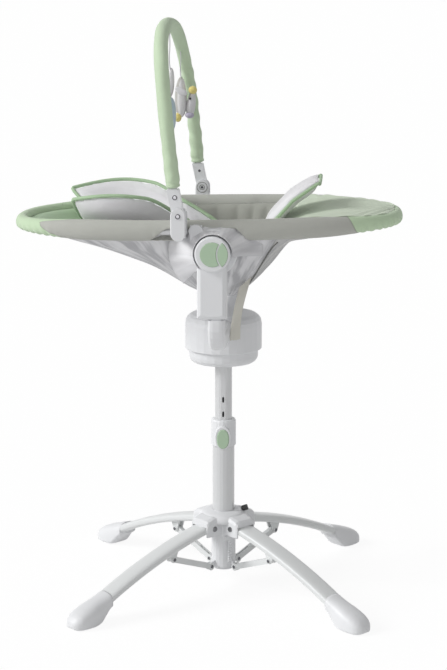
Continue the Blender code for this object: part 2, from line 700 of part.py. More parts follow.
def build_strut(number, frame):
    """Flat link: an eye on the leg's pin, a fork astride the sleeve's fin."""
    joint = strut_joint_in_leg()
    slide = axis("strut_pivot_%d" % (number + 1), frame, joint)
    inner = Vector((STRUT_IN_R - STRUT_OUT_R, 0, STRUT_IN_Z - STRUT_OUT_Z))
    length = inner.length
    half = STRUT_WIDTH / 2
    tall = STRUT_HEIGHT / 2
    # Modelled with the fork end along +X, then turned to its place
    turn = Matrix.Rotation(math.pi + math.atan2(inner.z, -inner.x), 4, "Y")
    fork_start = length - FORK_DEPTH
    eye = arc((0, 0), STRUT_EYE_RADIUS, 90, 270, 5)
    nose = arc((length, 0), tall, -90, 90, 4)
    outline = eye + [(14 * MM, -tall)] + nose + [(14 * MM, tall)]
    bar = moved(prism(outline, -half, half, "Y"), turn)
    made = piece("strut_%d" % (number + 1), bar, "painted_leg", slide, False)
    slot = FIN_THICKNESS / 2 + GAP
    cheek = slot + FORK_CHEEK
    boss = cylinder(STRUT_BOSS_RADIUS, -cheek, cheek, 12, "Y", (length, 0))
    join(made, "boss", moved(boss, turn), False)
    head = cylinder(4.2 * MM, -cheek - 1.4 * MM, cheek + 1.4 * MM, PIN_STEPS, "Y", (length, 0))
    join(made, "screw_head", moved(head, turn), False)
    fork = block((fork_start, -slot, -2 * STRUT_HEIGHT), (length + 2 * STRUT_HEIGHT, slot, 2 * STRUT_HEIGHT))
    cut(made, "fork", moved(fork, turn), False)
    eye_hole = cylinder(STRUT_PIN_RADIUS + GAP, -STRUT_WIDTH, STRUT_WIDTH, PIN_STEPS, "Y")
    cut(made, "eye_hole", moved(eye_hole, turn), False)


# Column: lower tube in a finned sleeve, octagonal upper tube, lock collar with its button

def build_column():
    radius = LOWER_TUBE_RADIUS
    tube = [
        (radius - LOWER_TUBE_WALL, LOWER_TUBE_BOTTOM), (radius, LOWER_TUBE_BOTTOM), (radius, LOWER_TUBE_TOP),
        (radius - LOWER_TUBE_WALL, LOWER_TUBE_TOP)]
    piece("lower_tube", turned(tube, ROUND_STEPS), "light_metal", FOLD_AXIS, False)
    build_sleeve()
    build_end_cap()
    bush_radius = radius - LOWER_TUBE_WALL - GAP
    top = LOWER_TUBE_TOP
    bush = piece("column_bush", cylinder(bush_radius, top - BUSH_LENGTH, top, ROUND_STEPS), "white_plastic", FOLD_AXIS, False)
    bore = prism(octagon(UPPER_TUBE_FLATS + 2 * GAP, 2.5 * MM), top - BUSH_LENGTH - 5 * MM, top + 5 * MM)
    cut(bush, "bore", bore, False)
    build_collar()
    build_upper_tube()


def build_sleeve():
    """Moulded sleeve on the foot of the tube; the hub rests on its top, the struts ride on its fins."""
    bore = LOWER_TUBE_RADIUS + GAP
    lip = LOWER_TUBE_RADIUS - 3.5 * MM
    top = HUB_BOTTOM - GAP
    shell = [
        (lip, SLEEVE_BOTTOM), (SLEEVE_RADIUS - 1.5 * MM, SLEEVE_BOTTOM), (SLEEVE_RADIUS, SLEEVE_BOTTOM + 1.5 * MM),
        (SLEEVE_RADIUS, top), (bore, top), (bore, LOWER_TUBE_BOTTOM - GAP), (lip, LOWER_TUBE_BOTTOM - GAP)]
    made = piece("finned_sleeve", turned(shell, ROUND_STEPS), "white_plastic", FOLD_AXIS, False)
    for number in range(LEG_COUNT):
        turn = Matrix.Rotation(leg_frame(number), 4, "Z")
        root = SLEEVE_RADIUS - 1 * MM
        nose = arc((STRUT_IN_R, STRUT_IN_Z), FIN_RADIUS, -90, 90, 6)
        outline = [(root, STRUT_IN_Z + FIN_RADIUS + 5 * MM), (root, STRUT_IN_Z - 3 * MM)] + nose
        fin = prism(outline, -FIN_THICKNESS / 2, FIN_THICKNESS / 2, "Y")
        join(made, "fin_%d" % (number + 1), moved(fin, turn), False)
        hole = cylinder(2.6 * MM, -FIN_THICKNESS, FIN_THICKNESS, 8, "Y", (STRUT_IN_R, STRUT_IN_Z))
        cut(made, "fin_hole_%d" % (number + 1), moved(hole, turn), False)


def build_end_cap():
    """Plug that closes the foot of the tube."""
    flange_top = SLEEVE_BOTTOM - GAP
    plug = LOWER_TUBE_RADIUS - 3.5 * MM - GAP
    profile = [
        (0, flange_top - 3.2 * MM), (SLEEVE_RADIUS - 3 * MM, flange_top - 3.2 * MM),
        (SLEEVE_RADIUS - 1.5 * MM, flange_top - 2 * MM), (SLEEVE_RADIUS - 1.5 * MM, flange_top), (plug, flange_top),
        (plug, flange_top + 9 * MM), (plug - 2 * MM, flange_top + 9 * MM), (plug - 2 * MM, flange_top),
        (0, flange_top)]
    piece("tube_end_cap", turned(profile, ROUND_STEPS), "white_plastic", FOLD_AXIS, False)


def build_collar():
    """Lock housing: a collar with an oval boss that holds the height button and its lock tongue."""
    clear = UPPER_TUBE_FLATS + 2 * GAP
    step = LOWER_TUBE_TOP + GAP
    outside = [
        (12 * MM, COLLAR_BOTTOM), (COLLAR_RADIUS - 1 * MM, COLLAR_BOTTOM), (COLLAR_RADIUS, COLLAR_BOTTOM + 1 * MM),
        (COLLAR_RADIUS, COLLAR_TOP - 4 * MM), (COLLAR_RADIUS - 1.5 * MM, COLLAR_TOP - 1 * MM),
        (COLLAR_RADIUS - 4 * MM, COLLAR_TOP), (12 * MM, COLLAR_TOP)]
    made = piece("lock_collar", turned(outside, ROUND_STEPS), "white_plastic", FOLD_AXIS, False)
    boss_width = BUTTON_WIDTH + 8 * MM
    boss_height = BUTTON_HEIGHT + 9 * MM
    boss_middle = (0, BUTTON_Z + 2 * MM)
    boss = [
        [(x * share, -depth, boss_middle[1] + (z - boss_middle[1]) * share)
         for x, z in oval(boss_width, boss_height, 20, boss_middle, 2.2)]
        for depth, share in ((12 * MM, 1.04), (BUTTON_FACE_Y - 4 * MM, 1.0), (BUTTON_FACE_Y - 2 * MM, 0.94))]
    join(made, "boss", loft(boss), False)
    cut(made, "tube_bore", cylinder(LOWER_TUBE_RADIUS + GAP, COLLAR_BOTTOM - 9 * MM, step, ROUND_STEPS), False)
    cut(made, "octagon_bore", prism(octagon(clear, 2.5 * MM), step - 5 * MM, COLLAR_TOP + 9 * MM), False)
    cavity = oval(BUTTON_WIDTH + 2 * GAP, BUTTON_HEIGHT + 2 * GAP, 20, (0, BUTTON_Z), 2.2)
    cut(made, "button_cavity", prism(cavity, -BUTTON_FACE_Y - 9 * MM, -BUTTON_FACE_Y + 6.5 * MM, "Y"), False)
    tongue_z = SLOT_TOP_Z - 2 * SLOT_PITCH
    half_w = SLOT_WIDTH / 2 + 0.1 * MM
    half_h = SLOT_HEIGHT / 2 + 0.1 * MM
    low = (-half_w, -BUTTON_FACE_Y + 6 * MM, tongue_z - half_h)
    cut(made, "tongue_channel", block(low, (half_w, -12 * MM, tongue_z + half_h)), False)
    build_button(tongue_z)


def build_button(tongue_z):
    frame = axis("height_button_slide", FOLD_AXIS, (0, -BUTTON_FACE_Y, BUTTON_Z))
    outlines = []
    for depth, share in ((0, 0.84), (0.5 * MM, 0.93), (1.4 * MM, 1.0), (3.4 * MM, 1.0)):
        ring = oval(BUTTON_WIDTH * share, BUTTON_HEIGHT * (1 - (1 - share) * 0.6), 20, roundness=2.2)
        outlines.append([(x, depth, z) for x, z in ring])
    piece("height_button", loft(outlines), "green_plastic", frame, False)
    tongue = axis("lock_tongue_slide", FOLD_AXIS, (0, -UPPER_TUBE_FLATS / 2, tongue_z))
    half_w = SLOT_WIDTH / 2 - GAP
    half_h = SLOT_HEIGHT / 2 - GAP
    bar = block((-half_w, -8 * MM, -half_h), (half_w, -GAP, half_h))
    piece("lock_tongue", bar, "light_metal", tongue, False)


def build_upper_tube():
    """Octagonal tube with a row of lock slots down its front."""
    low = UPPER_TUBE_BOTTOM
    high = DRUM_BASE_TOP - 6 * MM
    tube = piece("upper_tube", prism(octagon(UPPER_TUBE_FLATS, 2.5 * MM), low, high), "light_metal", HEIGHT_AXIS, False)
    inner = octagon(UPPER_TUBE_FLATS - 2 * UPPER_TUBE_WALL, 2 * MM)
    cut(tube, "inside", prism(inner, low - 5 * MM, high + 5 * MM), False)
    for i in range(SLOT_COUNT):
        z = SLOT_TOP_Z - i * SLOT_PITCH
        half = SLOT_HEIGHT / 2 - SLOT_WIDTH / 2
        outline = arc((0, z + half), SLOT_WIDTH / 2, 0, 180, 3) + arc((0, z - half), SLOT_WIDTH / 2, 180, 360, 3)
        cut(tube, "slot_%d" % (i + 1), prism(outline, -UPPER_TUBE_FLATS, 0, "Y"), False)


# Swivel drum: fixed dish under a turning cap

def build_drum_base():
    """Dish that seats the column; its rim is the track that the cap turns on."""
    edge = 15 * MM
    top = DRUM_BASE_TOP - GAP
    hub = 28 * MM
    floor = DRUM_BASE_BOTTOM + 4 * MM
    corner = arc((DRUM_BASE_RADIUS - edge, DRUM_BASE_BOTTOM + edge), edge, -90, 0, 4)
    profile = [(0, DRUM_BASE_BOTTOM)] + corner + [
        (DRUM_BASE_RADIUS, top), (DRUM_BASE_RADIUS - 5 * MM, top), (DRUM_BASE_RADIUS - 5 * MM, floor + 11 * MM),
        (DRUM_BASE_RADIUS - 16 * MM, floor), (hub, floor), (hub, top), (0, top)]
    made = piece("drum_base", turned(profile, DRUM_STEPS), "white_plastic", HEIGHT_AXIS, False)
    socket = prism(octagon(UPPER_TUBE_FLATS + 2 * GAP, 2.5 * MM), DRUM_BASE_BOTTOM - 9 * MM, top - 5.2 * MM)
    cut(made, "socket", socket, False)
    cut(made, "bolt_hole", cylinder(SPINDLE_RADIUS + GAP, top - 20 * MM, top + 5 * MM, 14), False)


def build_spindle():
    """Shoulder bolt: head inside the column, shank through dish and cap, wide nut above."""
    plate_under = DRUM_BASE_TOP - GAP - 5.2 * MM
    nut = DRUM_BASE_TOP + 20 * MM
    radius = SPINDLE_RADIUS
    head = 11 * MM
    profile = [
        (0, plate_under - 8 * MM), (head - 2 * MM, plate_under - 8 * MM), (head, plate_under - 6 * MM),
        (head, plate_under - GAP), (radius, plate_under - GAP), (radius, nut), (15 * MM, nut),
        (15 * MM, nut + 3 * MM), (9 * MM, nut + 3 * MM), (9 * MM, nut + 9 * MM), (0, nut + 9 * MM)]
    piece("swivel_bolt", turned(profile, 12), "light_metal", HEIGHT_AXIS, False)


def build_drum_cap():
    """Turning cap: a shell with a hub for the bolt, saddles and a tunnel for the yoke."""
    low = DRUM_BASE_TOP + GAP
    shoulder = 22 * MM
    wall = DRUM_WALL
    floor = low + 4.5 * MM
    corner = arc((DRUM_CAP_RADIUS - shoulder, DRUM_CAP_TOP - shoulder), shoulder, 0, 90, 4)
    profile = [(0, low), (DRUM_CAP_RADIUS - 1 * MM, low), (DRUM_CAP_RADIUS, low + 1 * MM)] + corner + [
        (0, DRUM_CAP_TOP)]
    made = piece("drum_cap", turned(profile, DRUM_STEPS), "white_plastic", SWIVEL_AXIS)
    nut = DRUM_BASE_TOP + 20 * MM - GAP
    inner = arc((DRUM_CAP_RADIUS - shoulder, DRUM_CAP_TOP - shoulder), shoulder - wall, 0, 90, 2)
    hollow = [(20 * MM, floor), (DRUM_CAP_RADIUS - wall, floor)] + inner + [
        (0, DRUM_CAP_TOP - wall), (0, nut), (20 * MM, nut)]
    cut(made, "hollow", turned(hollow, DRUM_STEPS))
    saddle_top = YOKE_BAR_Z - YOKE_BAR_HEIGHT / 2 - GAP
    for label, side in SIDES:
        saddle = block(
            (YOKE_MIDDLE_X - SADDLE_WIDTH / 2, SADDLE_START_Y, floor - 1 * MM),
            (YOKE_MIDDLE_X + SADDLE_WIDTH / 2, SADDLE_END_Y, saddle_top))
        join(made, "saddle_" + label, to_side(saddle, side))
    tunnel = oval(
        YOKE_WIDTH + 2 * GAP, YOKE_BAR_HEIGHT + 2 * GAP, YOKE_SIDES, (YOKE_MIDDLE_X, YOKE_BAR_Z), 3.4)
    cut(made, "tunnel", prism(tunnel, -DRUM_CAP_RADIUS * 2, DRUM_CAP_RADIUS * 2, "Y"))
    cut(made, "bolt_hole", cylinder(SPINDLE_RADIUS + GAP, low - 5 * MM, nut + 5 * MM, 14))


def build_yoke():
    """One U-shaped bar: across through the drum and up each side, with a spigot at each end."""
    path = [(0, YOKE_BAR_Z, 0), (YOKE_ARM_Y - YOKE_BEND_RADIUS, YOKE_BAR_Z, 0)]
    middle = (YOKE_ARM_Y - YOKE_BEND_RADIUS, YOKE_BAR_Z + YOKE_BEND_RADIUS)
    steps = 6
    for i in range(1, steps + 1):
        turn = math.pi / 2 * i / steps
        path.append(
            (middle[0] + YOKE_BEND_RADIUS * math.sin(turn), middle[1] - YOKE_BEND_RADIUS * math.cos(turn), turn))
    shoulder = YOKE_ARM_TOP - GAP
    path.append((YOKE_ARM_Y, shoulder, math.pi / 2))
    stations = [(y, z, turn, YOKE_BAR_HEIGHT + (YOKE_ARM_THICKNESS - YOKE_BAR_HEIGHT) * turn / (math.pi / 2), 1.0)
                for y, z, turn in path]
    thin = YOKE_ARM_THICKNESS * SPIGOT_SHARE
    stations.append((YOKE_ARM_Y, shoulder + 0.01 * MM, math.pi / 2, thin, SPIGOT_SHARE))
    stations.append((YOKE_ARM_Y, shoulder + SPIGOT_LENGTH, math.pi / 2, thin, SPIGOT_SHARE))
    outlines = []
    for side in (-1, 1):
        row = stations[::-1] if side < 0 else stations[1:]
        for y, z, turn, thickness, share in row:
            outline = []
            for across, deep in oval(YOKE_WIDTH * share, thickness, YOKE_SIDES, roundness=3.4):
                outline.append(
                    (YOKE_MIDDLE_X + across, side * (y - deep * math.sin(turn)), z + deep * math.cos(turn)))
            outlines.append(outline)
    piece("yoke", loft(outlines), "white_plastic", SWIVEL_AXIS)


# Tilt hinge: outer arm with disc, covers and release, and the housing on the seat

def arm_outline(inset=0.0):
    """Side view of the hinge arm: a disc on a sleeve whose foot is bowed down."""
    middle = ARM_MIDDLE_X
    half = ARM_SLEEVE_WIDTH / 2 - inset
    radius = HINGE_DISC_RADIUS - inset
    right = middle + half
    left = middle - half
    low = YOKE_ARM_TOP + inset
    rise = 3.5 * MM
    start = math.degrees(math.acos(min(1, right / radius)))
    end = math.degrees(math.acos(max(-1, left / radius)))
    disc = arc((0, HINGE_Z), radius, -start, 360 - end, 16)
    foot = [(right, low + rise), (right - 10 * MM, low + 0.5 * MM), (middle, low), (left + 10 * MM, low + 0.5 * MM),
            (left, low + rise)]
    return disc + foot[::-1]


def clipped_disc(radius, grow=0.0):
    """Cover outline: a disc whose +X side is bitten by a larger circle."""
    bite = CRESCENT_CUT_RADIUS + 3 * MM - grow
    whole = radius + grow
    x = (whole ** 2 - bite ** 2 + CRESCENT_CUT_X ** 2) / (2 * CRESCENT_CUT_X)
    start = math.degrees(math.acos(x / whole))
    back = math.degrees(math.acos((CRESCENT_CUT_X - x) / bite))
    outer = arc((0, 0), whole, start, 360 - start, 15)
    inner = arc((CRESCENT_CUT_X, 0), bite, 180 + back, 180 - back, 6)
    return [(a, b + HINGE_Z) for a, b in outer + inner[1:-1]]


def crescent(grow=0.0):
    """Release outline: the lens between the hinge's rim and the larger circle."""
    bite = CRESCENT_CUT_RADIUS + grow
    whole = CRESCENT_RADIUS - 1 * MM + grow
    x = (whole ** 2 - bite ** 2 + CRESCENT_CUT_X ** 2) / (2 * CRESCENT_CUT_X)
    start = math.degrees(math.acos(x / whole))
    back = math.degrees(math.acos((CRESCENT_CUT_X - x) / bite))
    outer = arc((0, 0), whole, -start, start, 9)
    inner = arc((CRESCENT_CUT_X, 0), bite, 180 - back, 180 + back, 7)
    return [(a, b + HINGE_Z) for a, b in outer + inner[1:-1]]


def layered(outline_at, layers):
    """Stack one outline at several insets: a plate with rounded edges. Each layer is (y, inset)."""
    return loft([[(x, y, z) for x, z in outline_at(inset)] for y, inset in layers])


def build_hinge_arms():
    for label, side in SIDES:
        inner, outer = ARM_SLEEVE_INNER_Y, ARM_SLEEVE_OUTER_Y
        body = layered(arm_outline, (
            (inner, 7 * MM), (inner + 5 * MM, 0), (outer - 8 * MM, 0), (outer - 3 * MM, 2.5 * MM),
            (outer, 8 * MM)))
        made = piece("hinge_arm_" + label, to_side(body, side), "white_plastic", SWIVEL_AXIS)
        face = HINGE_DISC_FACE_Y
        root = ARM_DISC_INNER_Y - 3 * MM
        disc = turned([
            (0, root), (HINGE_DISC_RADIUS + 0.4 * MM, root), (HINGE_DISC_RADIUS + 0.4 * MM, face - 3 * MM),
            (HINGE_DISC_RADIUS - 1 * MM, face - 0.8 * MM), (HINGE_DISC_RADIUS - 3 * MM, face), (0, face)], DISC_STEPS)
        moved(disc, Matrix.Translation((0, 0, HINGE_Z)) @ Matrix.Rotation(-math.pi / 2, 4, "X"))
        join(made, "disc", to_side(disc, side))
        clearance = HOUSING_RADIUS + 1.5 * MM
        room = cylinder(clearance, inner - 20 * MM, ARM_DISC_INNER_Y, DISC_STEPS, "Y", (0, HINGE_Z))
        cut(made, "housing_room", to_side(room, side))
        bore = cylinder(AXLE_RADIUS + GAP, inner, face - 7.5 * MM, 18, "Y", (0, HINGE_Z))
        cut(made, "axle_bore", to_side(bore, side))
        recess = prism(clipped_disc(COVER_RADIUS, GAP), face - 5 * MM, face + 5 * MM, "Y")
        cut(made, "cover_recess", to_side(recess, side))
        pocket = prism(crescent(GAP), face - 7.2 * MM, face + 5 * MM, "Y")
        cut(made, "release_pocket", to_side(pocket, side))
        share = SPIGOT_SHARE
        spigot = oval(
            YOKE_WIDTH * share + 2 * GAP, YOKE_ARM_THICKNESS * share + 2 * GAP, YOKE_SIDES,
            (YOKE_MIDDLE_X, YOKE_ARM_Y), 3.4)
        socket = prism(spigot, YOKE_ARM_TOP - 9 * MM, YOKE_ARM_TOP + SPIGOT_LENGTH + 1 * MM)
        cut(made, "spigot_socket", to_side(socket, side))
        cover = loft([
            [(x, y, z) for x, z in clipped_disc(COVER_RADIUS, grow)]
            for y, grow in ((face - 4.6 * MM, 0), (face + 0.6 * MM, 0), (face + 1.4 * MM, -0.9 * MM))])
        piece("hinge_cover_" + label, to_side(cover, side), "green_plastic", SWIVEL_AXIS)
        release = axis("tilt_release_slide_" + label, SWIVEL_AXIS, (0, side * face, HINGE_Z - DRUM_BASE_TOP))
        button = loft([
            [(x, y, z) for x, z in crescent(grow)]
            for y, grow in ((face - 3.8 * MM, 0), (face + 0.5 * MM, 0), (face + 1.2 * MM, -0.8 * MM))])
        piece("tilt_release_" + label, to_side(button, side), "green_plastic", release)


def build_tilt_housings():
    """Seat side of each hinge: a round housing with its axle, and an ear that clamps the ring."""
    for label, side in SIDES:
        inner = HOUSING_INNER_Y
        outer = ARM_DISC_INNER_Y - GAP
        radius = HOUSING_RADIUS
        body = turned([
            (0, inner), (radius - 2 * MM, inner), (radius, inner + 2 * MM), (radius, outer - 2 * MM),
            (radius - 2 * MM, outer), (0, outer)], DISC_STEPS)
        moved(body, Matrix.Translation((0, 0, HINGE_Z)) @ Matrix.Rotation(-math.pi / 2, 4, "X"))
        made = piece("tilt_housing_" + label, to_side(body, side), "white_plastic", TILT_AXIS)
        ear = arc((EAR_X, ring_height(EAR_X)), EAR_RADIUS, 20, 170, 7) + [(-40 * MM, HINGE_Z), (0, HINGE_Z - 4 * MM)]
        join(made, "ear", to_side(prism(ear, inner + 1.2 * MM, outer - 1.2 * MM, "Y"), side))
        y = ring_side(EAR_X)
        z = ring_height(EAR_X)
        wrap = RING_TUBE_RADIUS + 3.2 * MM
        low = (EAR_X - EAR_RADIUS + 2.2 * MM, y - wrap, z - wrap)
        high = (EAR_X + EAR_RADIUS - 2.7 * MM, inner + 4 * MM, z + wrap - 0.6 * MM)
        join(made, "clamp", to_side(block(low, high), side))
        axle = cylinder(AXLE_RADIUS, outer - 3 * MM, HINGE_DISC_FACE_Y - 8 * MM, 18, "Y", (0, HINGE_Z))
        join(made, "axle", to_side(axle, side))
        boolean(made, ring_guide(), "DIFFERENCE")



# Seat ring, its cloth and the hammock

def ring_side(x):
    """Distance of the ring's middle line from the seat's middle plane at a place along it."""
    share = abs(x - RING_MIDDLE_X) / RING_HALF_LENGTH
    return RING_HALF_WIDTH * (1 - share ** RING_ROUNDNESS) ** (1 / RING_ROUNDNESS)


def ring_height(x):
    return RING_Z + RING_SLOPE * (x - RING_MIDDLE_X)


def ring_point(angle, inset=0.0):
    """Point on the ring's middle line, drawn in by an inset."""
    c, s = math.cos(angle), math.sin(angle)
    x = math.copysign(abs(c) ** (2 / RING_ROUNDNESS), c) * (RING_HALF_LENGTH - inset)
    y = math.copysign(abs(s) ** (2 / RING_ROUNDNESS), s) * (RING_HALF_WIDTH - inset)
    return Vector((RING_MIDDLE_X + x, y, ring_height(RING_MIDDLE_X + x)))


def ring_angles(count):
    """Angles spaced so that the ring's sides and ends get their share of points."""
    return [2 * math.pi * (i + 0.5) / count for i in range(count)]


def ring_stations(section, count):
    """Sweep a (outward, up) section round the ring."""
    outlines = []
    for angle in ring_angles(count):
        point = ring_point(angle)
        before = ring_point(angle - 0.02)
        after = ring_point(angle + 0.02)
        ahead = (after - before).normalized()
        outward = Vector((ahead.y, -ahead.x, 0)).normalized()
        outlines.append([tuple(point + outward * a + Vector((0, 0, b))) for a, b in section])
    return loft(outlines, closed=True)


def ring_guide():
    """Slightly fatter copy of the ring that clamps are bored with."""
    found = bpy.data.objects.get("ring_guide")
    if found:
        return found
    section = circle(RING_TUBE_RADIUS + GAP, TUBE_STEPS)
    return helper("ring_guide", ring_stations(section, RING_STEPS), TILT_AXIS)


def build_ring():
    section = circle(RING_TUBE_RADIUS, TUBE_STEPS)
    piece("seat_ring", ring_stations(section, RING_STEPS), "light_metal", TILT_AXIS)


def build_rim_cloth():
    """Cloth tunnel sewn round the ring, open along its lower edge and cut away at the hinges."""
    outer = []
    inner = []
    for i in range(CLOTH_STEPS + 1):
        angle = math.radians(-78 + 336 * i / CLOTH_STEPS)
        outer.append((RIM_CLOTH_HALF_WIDTH * math.cos(angle), RIM_CLOTH_HALF_HEIGHT * math.sin(angle)))
        thin = RIM_CLOTH_THICKNESS
        inner.append((
            (RIM_CLOTH_HALF_WIDTH - thin) * math.cos(angle), (RIM_CLOTH_HALF_HEIGHT - thin) * math.sin(angle)))
    made = piece("rim_cloth", ring_stations(outer + inner[::-1], RING_STEPS), "grey_cloth", TILT_AXIS)
    left = ARCH_PIVOT_X - ARCH_BRACKET_WIDTH / 2 - 6 * MM
    right = EAR_X + EAR_RADIUS + 30 * MM
    for label, side in SIDES:
        low = (left, RING_HALF_WIDTH - 40 * MM, RING_Z - 40 * MM)
        window = block(low, (right, RING_HALF_WIDTH + 40 * MM, RING_Z + RING_TUBE_RADIUS + 4 * MM))
        cut(made, "window_" + label, to_side(window, side))
        flank = prism(RIM_CUT, RING_HALF_WIDTH - 1 * MM, RING_HALF_WIDTH + 40 * MM, "Y")
        cut(made, "flank_" + label, to_side(flank, side))


def height_on(line, x):
    """Height of a drawn line of (x, z) points over a place along the seat."""
    for (x0, z0), (x1, z1) in zip(line, line[1:]):
        if x0 <= x <= x1:
            return z0 + (z1 - z0) * (x - x0) / (x1 - x0)
    return RING_Z


def hammock_depth(x):
    """Height of the hammock's lowest line under a place along the seat."""
    return height_on(HAMMOCK_LINE, x)


def seat_height(x, y):
    """Height of the hammock's middle face over a place in the seat, folds left out."""
    reach = RING_HALF_LENGTH * 0.999
    side = ring_side(min(max(x, RING_MIDDLE_X - reach), RING_MIDDLE_X + reach)) - HAMMOCK_INSET
    rim = ring_height(x) - RIM_CLOTH_HALF_HEIGHT - HAMMOCK_THICKNESS * 0.5
    bottom = min(hammock_depth(x), rim - 1 * MM)
    across = min(1, abs(y) / max(side, 1 * MM))
    return bottom + (rim - bottom) * across ** HAMMOCK_ROUNDNESS


def hammock_surface(angle, share):
    """Middle face of the hammock: share 1 is the rim, 0 the lowest point."""
    rim = ring_point(angle, HAMMOCK_INSET)
    middle = Vector((HAMMOCK_BOTTOM_X, 0, 0))
    flat = Vector((rim.x, rim.y, 0))
    place = middle + (flat - middle) * share
    place.z = seat_height(place.x, place.y)
    if share > 0.999:
        place.z = rim.z - RIM_CLOTH_HALF_HEIGHT - HAMMOCK_THICKNESS * 0.5
    fold = HAMMOCK_FOLD_DEPTH * math.sin(math.pi * share) * math.cos(HAMMOCK_FOLDS * angle)
    return place - (flat - middle).normalized() * fold


def build_hammock():
    """Hanging cloth seat: a bowl lofted from the rim to its lowest point, with a real wall."""
    count = RING_STEPS
    shares = (1.0, 0.86, 0.68, 0.48, 0.28, 0.1)
    bm = bmesh.new()
    rings = []
    for share in shares:
        rings.append([bm.verts.new(hammock_surface(angle, share)) for angle in ring_angles(count)])
    for upper, lower in zip(rings, rings[1:]):
        for i in range(count):
            j = (i + 1) % count
            bm.faces.new((upper[i], upper[j], lower[j], lower[i]))
    bm.faces.new(rings[-1])
    bmesh.ops.recalc_face_normals(bm, faces=bm.faces)
    made = piece("hammock", bm, "white_cloth", TILT_AXIS, smooth=60)
    shell = made.modifiers.new("cloth", "SOLIDIFY")
    shell.thickness = HAMMOCK_THICKNESS
    shell.offset = 0
    shell.use_even_offset = False


def build_foot_cover():
    """Cloth drawn over the foot end of the ring, domed along its middle, with a free edge by the flap."""
    places = [ring_point(angle, COVER_INSET) for angle in ring_angles(RING_STEPS)]
    edge = [place for place in places if place.y > 0 and place.x > COVER_START_X + 9 * MM]
    corner = Vector((COVER_START_X, ring_side(COVER_START_X) - COVER_INSET, ring_height(COVER_START_X)))
    outlines = []
    for place in edge + [corner]:
        top = []
        for i in range(COVER_COLUMNS + 1):
            across = 2 * i / COVER_COLUMNS - 1
            side = place.z + COVER_EDGE_RISE
            middle = height_on(COVER_LINE, place.x)
            top.append((place.x, place.y * across, middle + (side - middle) * abs(across) ** 3))
        under = [(x, y, z - COVER_THICKNESS) for x, y, z in top]
        outlines.append(top + under[::-1])
    piece("foot_cover", loft(outlines), "mint_cloth", TILT_AXIS, smooth=60)


# Toy arch

def arch_x(z):
    """Lean of the arch: it draws back towards the head as it rises."""
    rise = z - ARCH_SOCKET_TOP
    return ARCH_FOOT_X - ARCH_LEAN * rise - ARCH_BEND * rise ** 2


def arch_line(low, count):
    """Middle line of the arch from one side over the top to the other."""
    straight = [(-ARCH_PIVOT_Y, low + (ARCH_SHOULDER_Z - low) * i / 3) for i in range(3)]
    crown = []
    for i in range(count + 1):
        angle = math.pi * (1 - i / count)
        c, s = math.cos(angle), math.sin(angle)
        y = math.copysign(abs(c) ** (2 / ARCH_ROUNDNESS), c) * ARCH_PIVOT_Y
        z = ARCH_SHOULDER_Z + abs(s) ** (2 / ARCH_ROUNDNESS) * (ARCH_TOP_Z - ARCH_SHOULDER_Z)
        crown.append((y, z))
    points = straight + crown + [(-y, z) for y, z in straight[::-1]]
    return [Vector((arch_x(z), y, z)) for y, z in points]


def along_arch(sections, line):
    """Sweep sections along the arch; every outline is square to the line."""
    outlines = []
    for i, point in enumerate(line):
        ahead = (line[min(i + 1, len(line) - 1)] - line[max(i - 1, 0)]).normalized()
        outward = Vector((1, 0, 0)) - ahead * ahead.x
        outward.normalize()
        other = ahead.cross(outward)
        outlines.append([tuple(point + outward * a + other * b) for a, b in sections])
    return outlines


def build_arch():
    bar_line = arch_line(ARCH_PIVOT_Z + 22 * MM, ARCH_STEPS)
    piece("arch_bar", loft(along_arch(circle(ARCH_BAR_RADIUS, TUBE_STEPS), bar_line)), "light_metal", ARCH_AXIS)
    sleeve_line = arch_line(ARCH_SOCKET_TOP + ARCH_LEAN * ARCH_SLEEVE_RADIUS + GAP, ARCH_STEPS)
    made = piece("arch_sleeve", loft(along_arch(circle(ARCH_SLEEVE_RADIUS, LEG_SIDES), sleeve_line)), "mint_cloth", ARCH_AXIS)
    guide = helper("arch_bar_guide", loft(along_arch(circle(ARCH_BAR_RADIUS + GAP, TUBE_STEPS), bar_line)), ARCH_AXIS)
    boolean(made, guide, "DIFFERENCE")
    for label, side in SIDES:
        build_arch_bracket(label, side)
        build_arch_socket(label, side, guide)


def bracket_outline(grow, top):
    """Side view of the bracket: round at both ends."""
    half = ARCH_BRACKET_WIDTH / 2 + grow
    middle = ARCH_PIVOT_X
    low = ARCH_BRACKET_BOTTOM + half
    high = top - half
    return arc((middle, high), half, 0, 180, 8) + arc((middle, low), half, 180, 360, 8)


